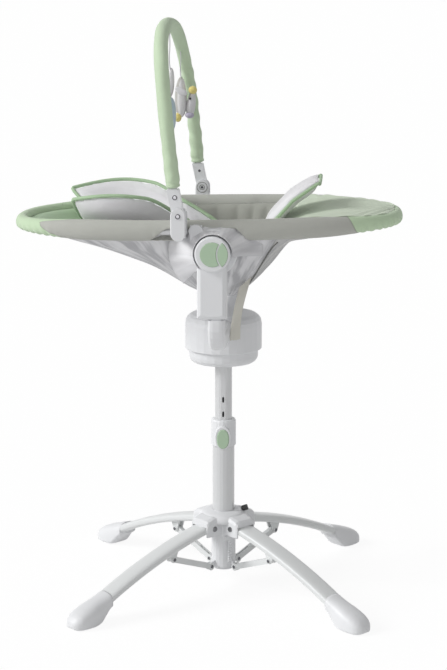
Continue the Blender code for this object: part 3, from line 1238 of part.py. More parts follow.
def build_arch_bracket(label, side):
    """Fork on the ring: two cheeks with the pivot pin between them, joined below the socket."""
    inner, outer = ARCH_INNER_Y, ARCH_OUTER_Y
    top = ARCH_PIVOT_Z + 16 * MM
    body = loft([
        [(x, y, z) for x, z in bracket_outline(grow, top)]
        for y, grow in ((inner, -1.5 * MM), (inner + 1.5 * MM, 0), (outer - 2 * MM, 0), (outer, -2 * MM))])
    made = piece("arch_bracket_" + label, to_side(body, side), "white_plastic", TILT_AXIS)
    y = ring_side(ARCH_PIVOT_X)
    z = ring_height(ARCH_PIVOT_X)
    wrap = RING_TUBE_RADIUS + 3 * MM
    clamp = block(
        (ARCH_PIVOT_X - 12 * MM, y - wrap, z - wrap), (ARCH_PIVOT_X + 12 * MM, inner + 3 * MM, z + wrap))
    join(made, "clamp", to_side(clamp, side))
    boolean(made, ring_guide(), "DIFFERENCE")
    half = ARCH_SOCKET_THICKNESS / 2 + GAP
    floor = ARCH_PIVOT_Z - ARCH_SOCKET_WIDTH / 2 - 1.5 * MM
    slot = block(
        (ARCH_PIVOT_X - 30 * MM, ARCH_PIVOT_Y - half, floor), (ARCH_PIVOT_X + 30 * MM, ARCH_PIVOT_Y + half, top + 9 * MM))
    cut(made, "slot", to_side(slot, side))
    pin = cylinder(4 * MM, inner + 2 * MM, outer + 1.2 * MM, 14, "Y", (ARCH_PIVOT_X, ARCH_PIVOT_Z))
    join(made, "pin", to_side(pin, side))



def build_arch_socket(label, side, guide):
    """Turning foot of the arch: a tapering socket, round about its pin."""
    half = ARCH_SOCKET_WIDTH / 2
    thick = ARCH_SOCKET_THICKNESS / 2
    top = ARCH_SOCKET_TOP
    x_top = arch_x(top)
    outline = arc((ARCH_PIVOT_X, ARCH_PIVOT_Z), half, 190, 350, 9) + [
        (x_top + half, top - 1 * MM), (x_top + half - 1 * MM, top), (x_top - half + 1 * MM, top),
        (x_top - half, top - 1 * MM)]
    body = prism(outline, ARCH_PIVOT_Y - thick, ARCH_PIVOT_Y + thick, "Y")
    made = piece("arch_socket_" + label, to_side(body, side), "white_plastic", ARCH_AXIS)
    hole = cylinder(4 * MM + GAP, ARCH_PIVOT_Y - 30 * MM, ARCH_PIVOT_Y + 30 * MM, 14, "Y", (ARCH_PIVOT_X, ARCH_PIVOT_Z))
    cut(made, "pin_hole", to_side(hole, side))
    boolean(made, guide, "DIFFERENCE")


# Hanging toys: ribbon, stuffed body and stuffed head or tail

def blob(middle, size, lean=0.0, steps=10, rings=7, neck=0.0):
    """Stuffed form: an egg that swells below and narrows above."""
    bm = bmesh.new()
    bmesh.ops.create_uvsphere(bm, u_segments=steps, v_segments=rings, radius=0.5)
    for vert in bm.verts:
        swell = 1 - neck * (vert.co.z + 0.5)
        vert.co.x *= size[0] * swell
        vert.co.y *= size[1] * swell
        vert.co.z *= size[2]
    moved(bm, Matrix.Rotation(lean, 4, "Y"))
    moved(bm, Matrix.Translation(middle))
    return bm


def ribbon(x, y, bottom, clear):
    """Flat ribbon whose top edge follows the underside of the arch's sleeve."""
    half = TOY_RIBBON_WIDTH / 2
    thin = TOY_RIBBON_THICKNESS / 2
    outline = [(y - half, bottom), (y + half, bottom), (y + half, sleeve_underside(y + half) - clear),
               (y - half, sleeve_underside(y - half) - clear)]
    return prism(outline, x - thin, x + thin, "X")


def arch_height(y):
    """Height of the arch's middle line over a place across the seat."""
    share = abs(y) / ARCH_PIVOT_Y
    rise = (1 - share ** ARCH_ROUNDNESS) ** (1 / ARCH_ROUNDNESS)
    return ARCH_SHOULDER_Z + rise * (ARCH_TOP_Z - ARCH_SHOULDER_Z)


def sleeve_underside(y):
    step = 4 * MM
    slope = (arch_height(y + step) - arch_height(y - step)) / (2 * step)
    return arch_height(y) - ARCH_SLEEVE_RADIUS * math.sqrt(1 + slope ** 2)


def build_toys():
    frames = {}
    for label, y, clear in (("a", TOY_A_Y, 1.4 * MM), ("b", TOY_B_Y, 2.9 * MM)):
        top = sleeve_underside(y) - clear
        x = arch_x(arch_height(y))
        frame = axis("toy_swing_" + label, ARCH_AXIS, (x - ARCH_PIVOT_X, y, top - ARCH_PIVOT_Z))
        frames[label] = (frame, x, y, top, clear)
    frame, x, y, top, clear = frames["a"]
    body_top = top - 74 * MM
    piece("toy_a_ribbon", ribbon(x, y, body_top, clear), "webbing", frame)
    body = blob((x + 1 * MM, y, body_top - GAP - 30 * MM), (20 * MM, 30 * MM, 60 * MM), neck=0.25)
    piece("toy_a_body", body, "plush", frame, smooth=80)
    tail_z = body_top - 60 * MM - 34.5 * MM
    piece("toy_a_tail", blob((x + 3 * MM, y, tail_z), (18 * MM, 34 * MM, 70 * MM), neck=-0.25), "plush", frame, smooth=80)
    frame, x, y, top, clear = frames["b"]
    body_top = top - 52 * MM
    piece("toy_b_ribbon", ribbon(x, y, body_top, clear), "webbing", frame)
    body_z = body_top - GAP - 44 * MM
    piece("toy_b_body", blob((x, y, body_z), (30 * MM, 34 * MM, 88 * MM), neck=0.2), "plush", frame, smooth=80)
    head = blob((x + 22.4 * MM, y, body_z - 14 * MM), (24 * MM, 30 * MM, 56 * MM), neck=0.3)
    piece("toy_b_head", head, "plush", frame, smooth=80)


# Padded insert and its straps

def pad_surface(u, v):
    """Middle face of the padded insert: u runs head to seat, v across from -1 to 1."""
    x = PAD_HEAD_X + (PAD_SEAT_X - PAD_HEAD_X) * u - PAD_CORNER_REACH * abs(v) ** 1.6 * (1 - u)
    width = PAD_NARROW + PAD_SWELL * math.sin(math.pi * min(u * 1.15 + 0.12, 1))
    y = width * v
    rest = seat_height(x, y) + PAD_REST + PAD_HEAD_RISE * (1 - u) ** 2
    wing_top = PAD_WING_Z + 16 * MM * math.sin(math.pi * min(u * 1.4, 1)) - 0.24 * max(0, u - 0.55) ** 1.5
    return Vector((x, y, rest + max(0, wing_top - rest) * abs(v) ** 4))


def flap_surface(u, v):
    """Foot flap of the insert: a pad that stands up from the seat's bottom and leans out over the rim."""
    count = len(FLAP_LINE) - 1
    part = min(int(u * count), count - 1)
    share = u * count - part
    start, stop = FLAP_LINE[part], FLAP_LINE[part + 1]
    x = start[0] + (stop[0] - start[0]) * share
    z = start[1] + (stop[1] - start[1]) * share
    width = FLAP_NARROW + (FLAP_WIDE - FLAP_NARROW) * math.sin(math.pi * 0.8 * u)
    return Vector((x, width * v, z + 9 * MM * u * v ** 2))


def padded(surface, thickness, rows, columns):
    """Closed cushion from a middle face: full in the middle, drawn in at its edges."""
    bm = bmesh.new()
    step = 0.01
    faces = {}
    for sign in (1, -1):
        grid = []
        for i in range(rows + 1):
            row = []
            for j in range(columns + 1):
                u, v = i / rows, 2 * j / columns - 1
                point = surface(u, v)
                low_u, high_u = max(u - step, 0), min(u + step, 1)
                low_v, high_v = max(v - step, -1), min(v + step, 1)
                along = surface(high_u, v) - surface(low_u, v)
                across = surface(u, high_v) - surface(u, low_v)
                normal = along.cross(across).normalized()
                edge = min(1, 2.2 * min(u, 1 - u) * 2) * min(1, 1.6 * (1 - abs(v)))
                channel = 1 - 0.35 * max(0, 1 - abs(abs(v) - 0.45) / 0.12)
                fill = (0.22 + 0.78 * math.sqrt(edge)) * channel
                row.append(bm.verts.new(point + normal * sign * fill * thickness / 2))
            grid.append(row)
        faces[sign] = grid
    for sign, grid in faces.items():
        for i in range(rows):
            for j in range(columns):
                quad = (grid[i][j], grid[i + 1][j], grid[i + 1][j + 1], grid[i][j + 1])
                bm.faces.new(quad if sign > 0 else quad[::-1])
    top, under = faces[1], faces[-1]
    border = [(i, 0) for i in range(rows)] + [(rows, j) for j in range(columns)]
    border += [(i, columns) for i in range(rows, 0, -1)] + [(0, j) for j in range(columns, 0, -1)]
    for k, (i, j) in enumerate(border):
        m, n = border[(k + 1) % len(border)]
        bm.faces.new((top[i][j], top[m][n], under[m][n], under[i][j]))
    bmesh.ops.recalc_face_normals(bm, faces=bm.faces)
    return bm


def strap(points, width, thickness):
    """Flat webbing along points; each is (x, y, z, turn, slope), turn twists it and slope tips its edge."""
    outlines = []
    for x, y, z, turn, slope in points:
        c, s = math.cos(turn), math.sin(turn)
        half, thin = width / 2, thickness / 2
        corners = ((-half, -thin), (half, -thin), (half, thin), (-half, thin))
        outlines.append([(x + a * c - b * s, y + a * s + b * c, z + a * slope) for a, b in corners])
    return loft(outlines)


def build_strap():
    """Loose end of the waist belt: it comes out under the seat cloth and hangs beside the drum."""
    low = seat_height(STRAP_TOP_X - STRAP_WIDTH / 2, STRAP_Y)
    high = seat_height(STRAP_TOP_X + STRAP_WIDTH / 2, STRAP_Y)
    top_z = (low + high) / 2 - HAMMOCK_THICKNESS / 2 - STRAP_CLEARANCE
    points = []
    for i in range(STRAP_STEPS + 1):
        share = i / STRAP_STEPS
        z = top_z + (STRAP_END_Z - top_z) * share
        slope = (high - low) / STRAP_WIDTH * max(0, 1 - share / 0.5)
        forward = STRAP_SWEEP * math.sin(share * math.pi / 2)
        points.append((STRAP_TOP_X - forward, STRAP_Y, z, STRAP_TWIST * max(0, share - 0.3) / 0.7, slope))
    piece("harness_strap", strap(points, STRAP_WIDTH, STRAP_THICKNESS), "webbing", TILT_AXIS, smooth=60)


def build_insert():
    piece("insert_pad", padded(pad_surface, PAD_THICKNESS, 10, 12), "white_cloth", TILT_AXIS, smooth=60)
    piece("foot_flap", padded(flap_surface, FLAP_THICKNESS, 10, 6), "white_cloth", TILT_AXIS, smooth=60)


# Assemble in the order of the bench: base, column, drum and yoke, seat, arch, soft parts

build_hub()
build_leg_pins()
build_plunger()
build_fold_latch()
build_legs()
FOLD_AXIS = axis("base_fold", BASE_AXIS)
build_column()
build_drum_base()
build_spindle()
build_drum_cap()
build_yoke()
build_hinge_arms()
build_tilt_housings()
build_ring()
build_rim_cloth()
build_hammock()
build_foot_cover()
build_arch()
build_toys()
build_insert()
build_strap()

bpy.context.view_layer.update()
for empty in [found for found in bpy.data.objects if found.type == "EMPTY"]:
    place = empty.matrix_world.translation
    print("axis", empty.name, tuple(round(value, 6) for value in place))
print("fold travel", round(FOLD_TRAVEL, 6), "leg turn", round(FOLD_ANGLE, 6), "strut turn", round(STRUT_TURN, 6))
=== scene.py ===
"""Looks of the convertible high chair: cloth, padding, toys, finishes, light and camera."""
import math

import bmesh
import bpy
import numpy as np
from mathutils import Matrix, Vector, noise


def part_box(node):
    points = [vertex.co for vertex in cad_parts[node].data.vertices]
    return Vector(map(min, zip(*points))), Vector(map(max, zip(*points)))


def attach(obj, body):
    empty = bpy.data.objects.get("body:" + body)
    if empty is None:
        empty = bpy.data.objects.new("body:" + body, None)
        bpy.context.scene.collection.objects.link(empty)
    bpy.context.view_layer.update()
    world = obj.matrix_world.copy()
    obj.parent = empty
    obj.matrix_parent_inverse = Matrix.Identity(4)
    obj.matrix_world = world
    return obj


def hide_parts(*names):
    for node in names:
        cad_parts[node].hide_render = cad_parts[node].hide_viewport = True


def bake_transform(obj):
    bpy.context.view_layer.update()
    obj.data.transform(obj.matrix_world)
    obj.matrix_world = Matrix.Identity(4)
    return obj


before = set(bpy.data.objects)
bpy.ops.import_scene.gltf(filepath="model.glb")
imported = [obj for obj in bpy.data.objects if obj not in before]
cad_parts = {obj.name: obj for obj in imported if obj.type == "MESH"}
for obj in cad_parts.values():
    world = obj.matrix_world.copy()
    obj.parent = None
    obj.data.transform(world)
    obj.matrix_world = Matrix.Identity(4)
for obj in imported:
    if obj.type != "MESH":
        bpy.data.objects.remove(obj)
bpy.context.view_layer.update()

MM = 0.001
COLUMN_X = 31 * MM
UP = Vector((0, 0, 1))


# Studio: a plain pale floor under an even white surround, one broad light from the upper left and a weak
# one from the front. The floor keeps only part of its shadows, as on a photographer's white sweep.

AMBIENT_STRENGTH = 0.36
FLOOR_GLOW = 1.05
FLOOR_GLOW_SHARE = 0.86
FLOOR_HALF_SIZE = 400


def studio_shader(tree, white, lit):
    """Show white to the camera and to reflections, and the lit shader to everything else."""
    path = tree.nodes.new("ShaderNodeLightPath")
    seen = tree.nodes.new("ShaderNodeMath")
    seen.operation = "MAXIMUM"
    tree.links.new(path.outputs["Is Camera Ray"], seen.inputs[0])
    tree.links.new(path.outputs["Is Glossy Ray"], seen.inputs[1])
    either = tree.nodes.new("ShaderNodeMath")
    either.operation = "MAXIMUM"
    tree.links.new(seen.outputs[0], either.inputs[0])
    tree.links.new(path.outputs["Is Transmission Ray"], either.inputs[1])
    choice = tree.nodes.new("ShaderNodeMixShader")
    tree.links.new(either.outputs[0], choice.inputs[0])
    tree.links.new(lit, choice.inputs[1])
    tree.links.new(white, choice.inputs[2])
    return choice.outputs[0]


scene = bpy.context.scene
scene.view_settings.view_transform = "Standard"
world = bpy.data.worlds.new("surround")
scene.world = world
world.use_nodes = True
sky = world.node_tree
ambient = sky.nodes["Background"]
ambient.inputs["Color"].default_value = (1, 1, 1, 1)
ambient.inputs["Strength"].default_value = AMBIENT_STRENGTH
backdrop = sky.nodes.new("ShaderNodeBackground")
backdrop.inputs["Color"].default_value = (1, 1, 1, 1)
backdrop.inputs["Strength"].default_value = 1.0
surround = studio_shader(sky, backdrop.outputs[0], ambient.outputs[0])
sky.links.new(surround, sky.nodes["World Output"].inputs["Surface"])

floor_mesh = bpy.data.meshes.new("floor")
sheet_of_floor = bmesh.new()
bmesh.ops.create_grid(sheet_of_floor, x_segments=1, y_segments=1, size=FLOOR_HALF_SIZE)
sheet_of_floor.to_mesh(floor_mesh)
sheet_of_floor.free()
floor = bpy.data.objects.new("floor", floor_mesh)
scene.collection.objects.link(floor)
floor_paint = bpy.data.materials.new("floor")
floor_paint.use_nodes = True
floor_tree = floor_paint.node_tree
floor_tree.nodes.remove(floor_tree.nodes["Principled BSDF"])
matt = floor_tree.nodes.new("ShaderNodeBsdfDiffuse")
matt.inputs["Color"].default_value = (0.9, 0.9, 0.9, 1)
glow = floor_tree.nodes.new("ShaderNodeEmission")
glow.inputs["Strength"].default_value = FLOOR_GLOW
sweep = floor_tree.nodes.new("ShaderNodeMixShader")
sweep.inputs[0].default_value = FLOOR_GLOW_SHARE
floor_tree.links.new(matt.outputs[0], sweep.inputs[1])
floor_tree.links.new(glow.outputs[0], sweep.inputs[2])
floor_look = studio_shader(floor_tree, sweep.outputs[0], matt.outputs[0])
floor_tree.links.new(floor_look, floor_tree.nodes["Material Output"].inputs["Surface"])
floor_mesh.materials.append(floor_paint)


def sun(name, toward, strength, spread):
    """Broad lamp that shines from a direction."""
    lamp = bpy.data.lights.new(name, "SUN")
    lamp.energy = strength
    lamp.angle = math.radians(spread)
    holder = bpy.data.objects.new(name, lamp)
    scene.collection.objects.link(holder)
    holder.rotation_euler = Vector(toward).to_track_quat("Z", "Y").to_euler()


sun("key_light", (-0.90, -0.26, 0.58), 2.0, 26)
sun("front_light", (-0.25, -0.95, 0.12), 0.42, 60)

# Camera: a long lens that stands a little above the seat and looks down at the photograph's angle, from a
# little to the right of straight across.

CAMERA_PITCH = math.radians(11.6)
CAMERA_TURN = math.radians(4.76)

camera = bpy.data.cameras.new("camera")
camera.lens = 90.9
camera.clip_end = 2000
eye = bpy.data.objects.new("camera", camera)
scene.collection.objects.link(eye)
eye.location = (0.323, -3.507, 1.274)
eye.rotation_euler = (math.pi / 2 - CAMERA_PITCH, 0, CAMERA_TURN)
scene.camera = eye


# Base, column, drum and yoke: white moulded plastic with a fine grain, powder-coated oval tubes, pale
# coated column tubes, dark plated pins and soft green buttons. Each keeps its shape and gets its finish.

class Value:
    """A shader socket that can be used in sums."""

    def __init__(self, look, socket):
        self.look = look
        self.socket = socket

    def maths(self, operation, *others):
        made = self.look.node("ShaderNodeMath", {"operation": operation}, dict(enumerate((self, *others))))
        return Value(self.look, made.outputs[0])

    def __add__(self, other):
        return self.maths("ADD", other)

    __radd__ = __add__

    def __mul__(self, other):
        return self.maths("MULTIPLY", other)

    __rmul__ = __mul__

    def __sub__(self, other):
        return self.maths("SUBTRACT", other)

    def __rsub__(self, other):
        return (self * -1) + other

    def size(self):
        return self.maths("ABSOLUTE")

    def ramp(self, low, high):
        """0 below low and 1 above high, eased between them."""
        made = self.look.node(
            "ShaderNodeMapRange", {"interpolation_type": "SMOOTHSTEP"},
            {"Value": self, "From Min": low, "From Max": high})
        return Value(self.look, made.outputs[0])


class Look:
    """A material being built round one Principled shader."""

    def __init__(self, name, roughness=0.5, metallic=0.0, sheen=0.0):
        self.material = bpy.data.materials.new(name)
        self.material.use_nodes = True
        self.tree = self.material.node_tree
        self.shader = self.tree.nodes["Principled BSDF"]
        self.shader.inputs["Roughness"].default_value = roughness
        self.shader.inputs["Metallic"].default_value = metallic
        self.shader.inputs["Sheen Weight"].default_value = sheen

    def node(self, kind, settings, sockets):
        made = self.tree.nodes.new(kind)
        for name, value in settings.items():
            setattr(made, name, value)
        for name, value in sockets.items():
            self.give(made.inputs[name], value)
        return made

    def give(self, socket, value):
        if isinstance(value, Value):
            self.tree.links.new(value.socket, socket)
        else:
            socket.default_value = value

    def place(self):
        return Value(self, self.node("ShaderNodeTexCoord", {}, {}).outputs["Object"])

    def cut(self):
        """Place on the flat cut of a cloth, in metres."""
        return Value(self, self.node("ShaderNodeUVMap", {"uv_map": "cut"}, {}).outputs[0])

    def mark(self, name):
        """A number that the piece carries at each of its points."""
        return Value(self, self.node("ShaderNodeAttribute", {"attribute_name": name}, {}).outputs["Fac"])

    def clouds(self, place, scale, detail=2.0):
        made = self.node("ShaderNodeTexNoise", {}, {"Vector": place, "Scale": scale, "Detail": detail})
        return Value(self, made.outputs[0])

    def stripes(self, place, scale, direction):
        made = self.node(
            "ShaderNodeTexWave", {"bands_direction": direction}, {"Vector": place, "Scale": scale})
        return Value(self, made.outputs["Fac"])

    def mix(self, share, first, second):
        made = self.node("ShaderNodeMix", {"data_type": "RGBA"}, {0: share, 6: first, 7: second})
        return Value(self, made.outputs[2])

    def colour(self, value):
        self.give(self.shader.inputs["Base Color"], value)
        return self

    def relief(self, height, depth, strength=1.0):
        bump = self.node("ShaderNodeBump", {}, {"Height": height, "Distance": depth, "Strength": strength})
        self.tree.links.new(bump.outputs[0], self.shader.inputs["Normal"])
        return self


def paint(red, green, blue):
    """Colour of a pigment from its screen values."""
    def level(channel):
        share = channel / 255
        return share / 12.92 if share <= 0.04045 else ((share + 0.055) / 1.055) ** 2.4
    return level(red), level(green), level(blue), 1


def darker(colour, share):
    """The same colour with a share of its light."""
    return tuple(channel * share for channel in colour[:3]) + (1,)


WHITE = paint(232, 233, 235)
LEG_GREY = paint(226, 228, 228)
MINT = paint(202, 224, 190)
MINT_DEEP = paint(182, 209, 172)
MINT_PALE = paint(222, 235, 212)
GREY = paint(188, 189, 182)
GREY_DEEP = paint(172, 173, 165)
PAD_WHITE = paint(240, 239, 242)
GREEN = paint(178, 202, 174)


def moulded(name, colour, roughness=0.42, grain=0.04 * MM):
    look = Look(name, roughness)
    place = look.place()
    shade = look.clouds(place, 9.0)
    look.colour(look.mix(shade, darker(colour, 0.96), colour))
    look.give(look.shader.inputs["Roughness"], look.clouds(place, 60.0) * 0.12 + (roughness - 0.06))
    return look.relief(look.clouds(place, 1400.0), grain)


def coated(name, colour, metallic, roughness):
    """Tube under a thin coat: faint orange peel."""
    look = Look(name, roughness, metallic)
    look.shader.inputs["Coat Weight"].default_value = 0.25
    look.shader.inputs["Coat Roughness"].default_value = 0.3
    place = look.place()
    look.colour(look.mix(look.clouds(place, 14.0), darker(colour, 0.95), colour))
    return look.relief(look.clouds(place, 420.0), 0.03 * MM)


def dress(look, *pieces):
    for piece in pieces:
        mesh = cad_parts[piece].data if isinstance(piece, str) else piece.data
        mesh.materials.clear()
        mesh.materials.append(look.material)


white_plastic = moulded("white_plastic", WHITE)
green_plastic = moulded("green_plastic", GREEN, 0.5)
black_plastic = moulded("black_plastic", paint(58, 58, 58), 0.55, 0.1 * MM)
leg_coat = coated("leg_coat", LEG_GREY, 0.0, 0.38)
column_coat = coated("column_coat", paint(214, 215, 216), 0.15, 0.34)
plated = coated("plated", paint(120, 121, 123), 0.9, 0.3)

dress(
    white_plastic, "hub_crown", "fold_latch", "finned_sleeve", "tube_end_cap", "column_bush", "lock_collar",
    "drum_base", "drum_cap", "yoke", "hinge_arm_near", "hinge_arm_far", "tilt_housing_near",
    "tilt_housing_far", "arch_bracket_near", "arch_bracket_far", "arch_socket_near", "arch_socket_far")
dress(leg_coat, "leg_1", "leg_2", "leg_3", "leg_4", "strut_1", "strut_2", "strut_3", "strut_4")
dress(column_coat, "lower_tube", "upper_tube", "seat_ring", "arch_bar")
dress(plated, "lock_tongue", "swivel_bolt", "leg_pin_1", "leg_pin_2", "leg_pin_3", "leg_pin_4")
dress(
    green_plastic, "height_button", "hinge_cover_near", "hinge_cover_far", "tilt_release_near",
    "tilt_release_far")
dress(black_plastic, "lock_plunger")


# Screws: a dark recess with a bright dished head sits in each arch bracket and socket on the outer face,
# and a moulded rosette rings the pivot on the inner face.

def surface(name, columns, rows, place, body=None, cut=(1.0, 1.0), close=False):
    """Carry a flat grid to its place in space; place takes shares 0 to 1 both ways."""
    bm = bmesh.new()
    bmesh.ops.create_grid(bm, x_segments=columns, y_segments=rows, size=0.5, calc_uvs=True)
    flat = bm.loops.layers.uv.verify()
    for face in bm.faces:
        for loop in face.loops:
            u, v = loop.vert.co.x + 0.5, loop.vert.co.y + 0.5
            loop[flat].uv = (u * cut[0], v * cut[1])
    for vert in bm.verts:
        vert.co = place(min(max(vert.co.x + 0.5, 0), 1), min(max(vert.co.y + 0.5, 0), 1))
    bmesh.ops.remove_doubles(bm, verts=bm.verts, dist=0.02 * MM)
    if close:
        open_edges = [edge for edge in bm.edges if edge.is_boundary]
        bmesh.ops.holes_fill(bm, edges=open_edges, sides=0)
    bmesh.ops.recalc_face_normals(bm, faces=bm.faces)
    mesh = bpy.data.meshes.new(name)
    bm.to_mesh(mesh)
    bm.free()
    mesh.uv_layers[0].name = "cut"
    mesh.shade_smooth()
    made = bpy.data.objects.new(name, mesh)
    scene.collection.objects.link(made)
    if body:
        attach(made, body)
    return made


def lathe(name, profile, middle, direction, body, steps=48):
    """Turn a (radius, height) profile about an axis through a point."""
    turn = Vector(direction).to_track_quat("Z", "Y").to_matrix()
    last = len(profile) - 1

    def place(u, v):
        radius, height = profile[min(round(v * last), last)]
        angle = 2 * math.pi * u
        local = Vector((radius * math.cos(angle), radius * math.sin(angle), height))
        return Vector(middle) + turn @ local

    made = surface(name, steps, last, place, body)
    made.data.set_sharp_from_angle(angle=math.radians(40))
    return made


def metres(*points):
    return [(a * MM, b * MM) for a, b in points]


screw_dark = coated("screw_dark", paint(92, 92, 96), 0.9, 0.32)
screw_bright = coated("screw_bright", paint(214, 214, 218), 0.95, 0.2)
socket_screw = (-73.6 * MM + COLUMN_X, 258.0 * MM, 875 * MM)
pivot_screw = (-67 * MM + COLUMN_X, 267.2 * MM, 839 * MM)
ring_profile = metres((0, -1.0), (4.6, -1.0), (5.0, 0.2), (4.2, 0.8), (3.2, 0.3), (3.1, -0.4), (0, -0.4))
dish_profile = metres((0, -0.4), (3.0, -0.4), (2.7, 0.5), (1.6, 0.8), (1.3, 0.1), (0, 0.1))
for side, label in ((-1, "near"), (1, "far")):
    for screw, middle, body in (("socket", socket_screw, "arch"), ("pivot", pivot_screw, "seat")):
        spot = (middle[0], side * middle[1], middle[2])
        seat_of_screw = lathe("%s_screw_ring_%s" % (screw, label), ring_profile, spot, (0, side, 0), body)
        dress(screw_dark, seat_of_screw)
        head = lathe("%s_screw_head_%s" % (screw, label), dish_profile, spot, (0, side, 0), body, 24)
        dress(screw_bright, head)

rosette_grey = moulded("rosette_grey", paint(150, 150, 148), 0.5)
for side, label in ((-1, "near"), (1, "far")):
    spot = (pivot_screw[0], side * 230 * MM, pivot_screw[2])
    for number, radius in enumerate((5.2, 8.4, 11.4)):
        hoop = metres(
            (radius - 0.9, -0.3), (radius - 0.6, 0.7), (radius, 1.0), (radius + 0.6, 0.7),
            (radius + 0.9, -0.3))
        made = lathe("rosette_%s_%d" % (label, number + 1), hoop, spot, (0, -side, 0), "seat")
        dress(rosette_grey if number % 2 == 0 else white_plastic, made)
    middle_cap = lathe("rosette_%s_cap" % label, dish_profile, spot, (0, -side, 0), "seat", 24)
    dress(screw_dark, middle_cap)
    inner_socket = (socket_screw[0], side * 238.0 * MM, socket_screw[2])
    inner_screw = lathe(
        "socket_screw_inner_%s" % label, dish_profile, inner_socket, (0, -side, 0), "arch", 24)
    dress(screw_dark, inner_screw)


# Legs and shoes: bowed oval tubes under a pale powder coat, each pushed into a white moulded shoe with a
# flat sole and a full rounded toe. Dark screws hold the struts at the legs' brackets and the sleeve's fins.

BASE_TURN = 47.5
LEG_PIVOT_R = 50 * MM
LEG_PIVOT_Z = 138 * MM
LEG_DROP = math.radians(10.7)
LEG_BOW = math.radians(15.2)
LEG_LENGTH = 306 * MM
LEG_WIDTH = 44.6 * MM
LEG_HEIGHT = 18.4 * MM
LEG_COAT_START = 16 * MM
LEG_COAT_SHORT = 12 * MM
SHOE_LAP = 12 * MM
SHOE_LENGTH = 94 * MM
SHOE_WIDTH = 56 * MM


def on_leg(number, r, y, z):
    """World place of a point given by its distance out along a leg's direction, across it, and height."""
    turn = math.radians(BASE_TURN + 90 * (number - 1))
    c, s = math.cos(turn), math.sin(turn)
    return Vector((COLUMN_X + r * c - y * s, r * s + y * c, z))


def leg_line(along):
    """Distance out from the column, height and slope of the bowed tube's middle line."""
    steps = 24
    r, z = LEG_PIVOT_R, LEG_PIVOT_Z
    for i in range(steps):
        drop = LEG_DROP + LEG_BOW * (i + 0.5) / steps * along / LEG_LENGTH
        r += along / steps * math.cos(drop)
        z -= along / steps * math.sin(drop)
    return r, z, LEG_DROP + LEG_BOW * along / LEG_LENGTH


def squircle(turn, roundness):
    """Point of a rounded square of half size 1."""
    c, s = math.cos(turn), math.sin(turn)
    return math.copysign(abs(c) ** (2 / roundness), c), math.copysign(abs(s) ** (2 / roundness), s)


def leg_place(number, u, v):
    r, z, drop = leg_line(LEG_COAT_START + (LEG_LENGTH - SHOE_LAP - LEG_COAT_SHORT) * u)
    across, up = squircle(2 * math.pi * v, 3.0)
    up *= LEG_HEIGHT / 2
    return on_leg(number, r + up * math.sin(drop), across * LEG_WIDTH / 2, z + up * math.cos(drop))


SHOE_SHARES = (0, 0.10, 0.20, 0.30, 0.40, 0.50, 0.60, 0.72, 0.84, 0.93, 0.98, 1.0)
SHOE_WIDTHS = (0.84, 0.85, 0.88, 0.93, 0.975, 1.0, 1.0, 0.97, 0.88, 0.69, 0.44, 0.16)
SHOE_TOPS = (60.5, 57.5, 54.5, 51.5, 48.5, 45.5, 42, 37.5, 31.5, 24.5, 17.5, 11)
SHOE_SOLES = (32, 25, 14, 4, 1, 0, 0, 0, 0.2, 1.2, 4, 8)


def shoe_place(number, u, v):
    start = leg_line(LEG_LENGTH - SHOE_LAP)[0]
    share = 1 - (1 - u) ** 1.5
    near = [share]
    if share < 0.95:
        near = [min(max(share + step, 0), 1) for step in (-0.03, -0.015, 0, 0.015, 0.03)]
    half, top, sole = (
        sum(float(np.interp(spot, SHOE_SHARES, marks)) for spot in near) / len(near)
        for marks in (SHOE_WIDTHS, SHOE_TOPS, SHOE_SOLES))
    across, up = squircle(2 * math.pi * v, 2.5 if v < 0.5 else 5)
    middle = sole + 0.40 * (top - sole)
    height = middle + up * (top - middle if up > 0 else middle - sole)
    return on_leg(number, start + share * SHOE_LENGTH, across * half * SHOE_WIDTH / 2, height * MM)


dome = metres(
    (24.6, 158), (24.6, 165.5), (26.5, 167.5), (32, 167.8), (40, 166), (47, 163.5), (51, 157), (52.5, 150),
    (51, 147))
crown = lathe("crown_dome", dome, (COLUMN_X, 0, 0), (0, 0, 1), "hub", 72)
dress(white_plastic, crown)

knob = metres((0, -0.8), (3.7, -0.8), (3.9, 0.1), (3.2, 0.8), (1.5, 1.0), (1.2, 0.5), (0, 0.5))
for number in (1, 2, 3, 4):
    leg_body = "leg_assembly_%d" % number
    tube_of_leg = surface("leg_coat_%d" % number, 48, 48, lambda u, v: leg_place(number, u, v), leg_body)
    dress(leg_coat, tube_of_leg)
    shoe = surface("shoe_%d" % number, 56, 56, lambda u, v: shoe_place(number, u, v), leg_body, close=True)
    dress(white_plastic, shoe)
    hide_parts("foot_%d" % number)
    for side in (-1, 1):
        direction = on_leg(number, 0, side, 0) - on_leg(number, 0, 0, 0)
        label = "%d_%s" % (number, "left" if side > 0 else "right")
        outer_spot = on_leg(number, 150 * MM, side * 10.7 * MM, 88 * MM)
        outer = lathe("strut_screw_out_" + label, knob, outer_spot, direction, leg_body, 20)
        inner_spot = on_leg(number, 40 * MM, side * 7.1 * MM, 46 * MM)
        inner = lathe("strut_screw_in_" + label, knob, inner_spot, direction, "strut_link_%d" % number, 20)
        dress(screw_dark, outer)
        dress(screw_dark, inner)


# Rim cloth: a woven tunnel sewn round the seat's ring, grey along the sides and mint round both ends. It is
# slit below, and at each hinge its outer half is cut away so that only a narrow band runs over the arm.

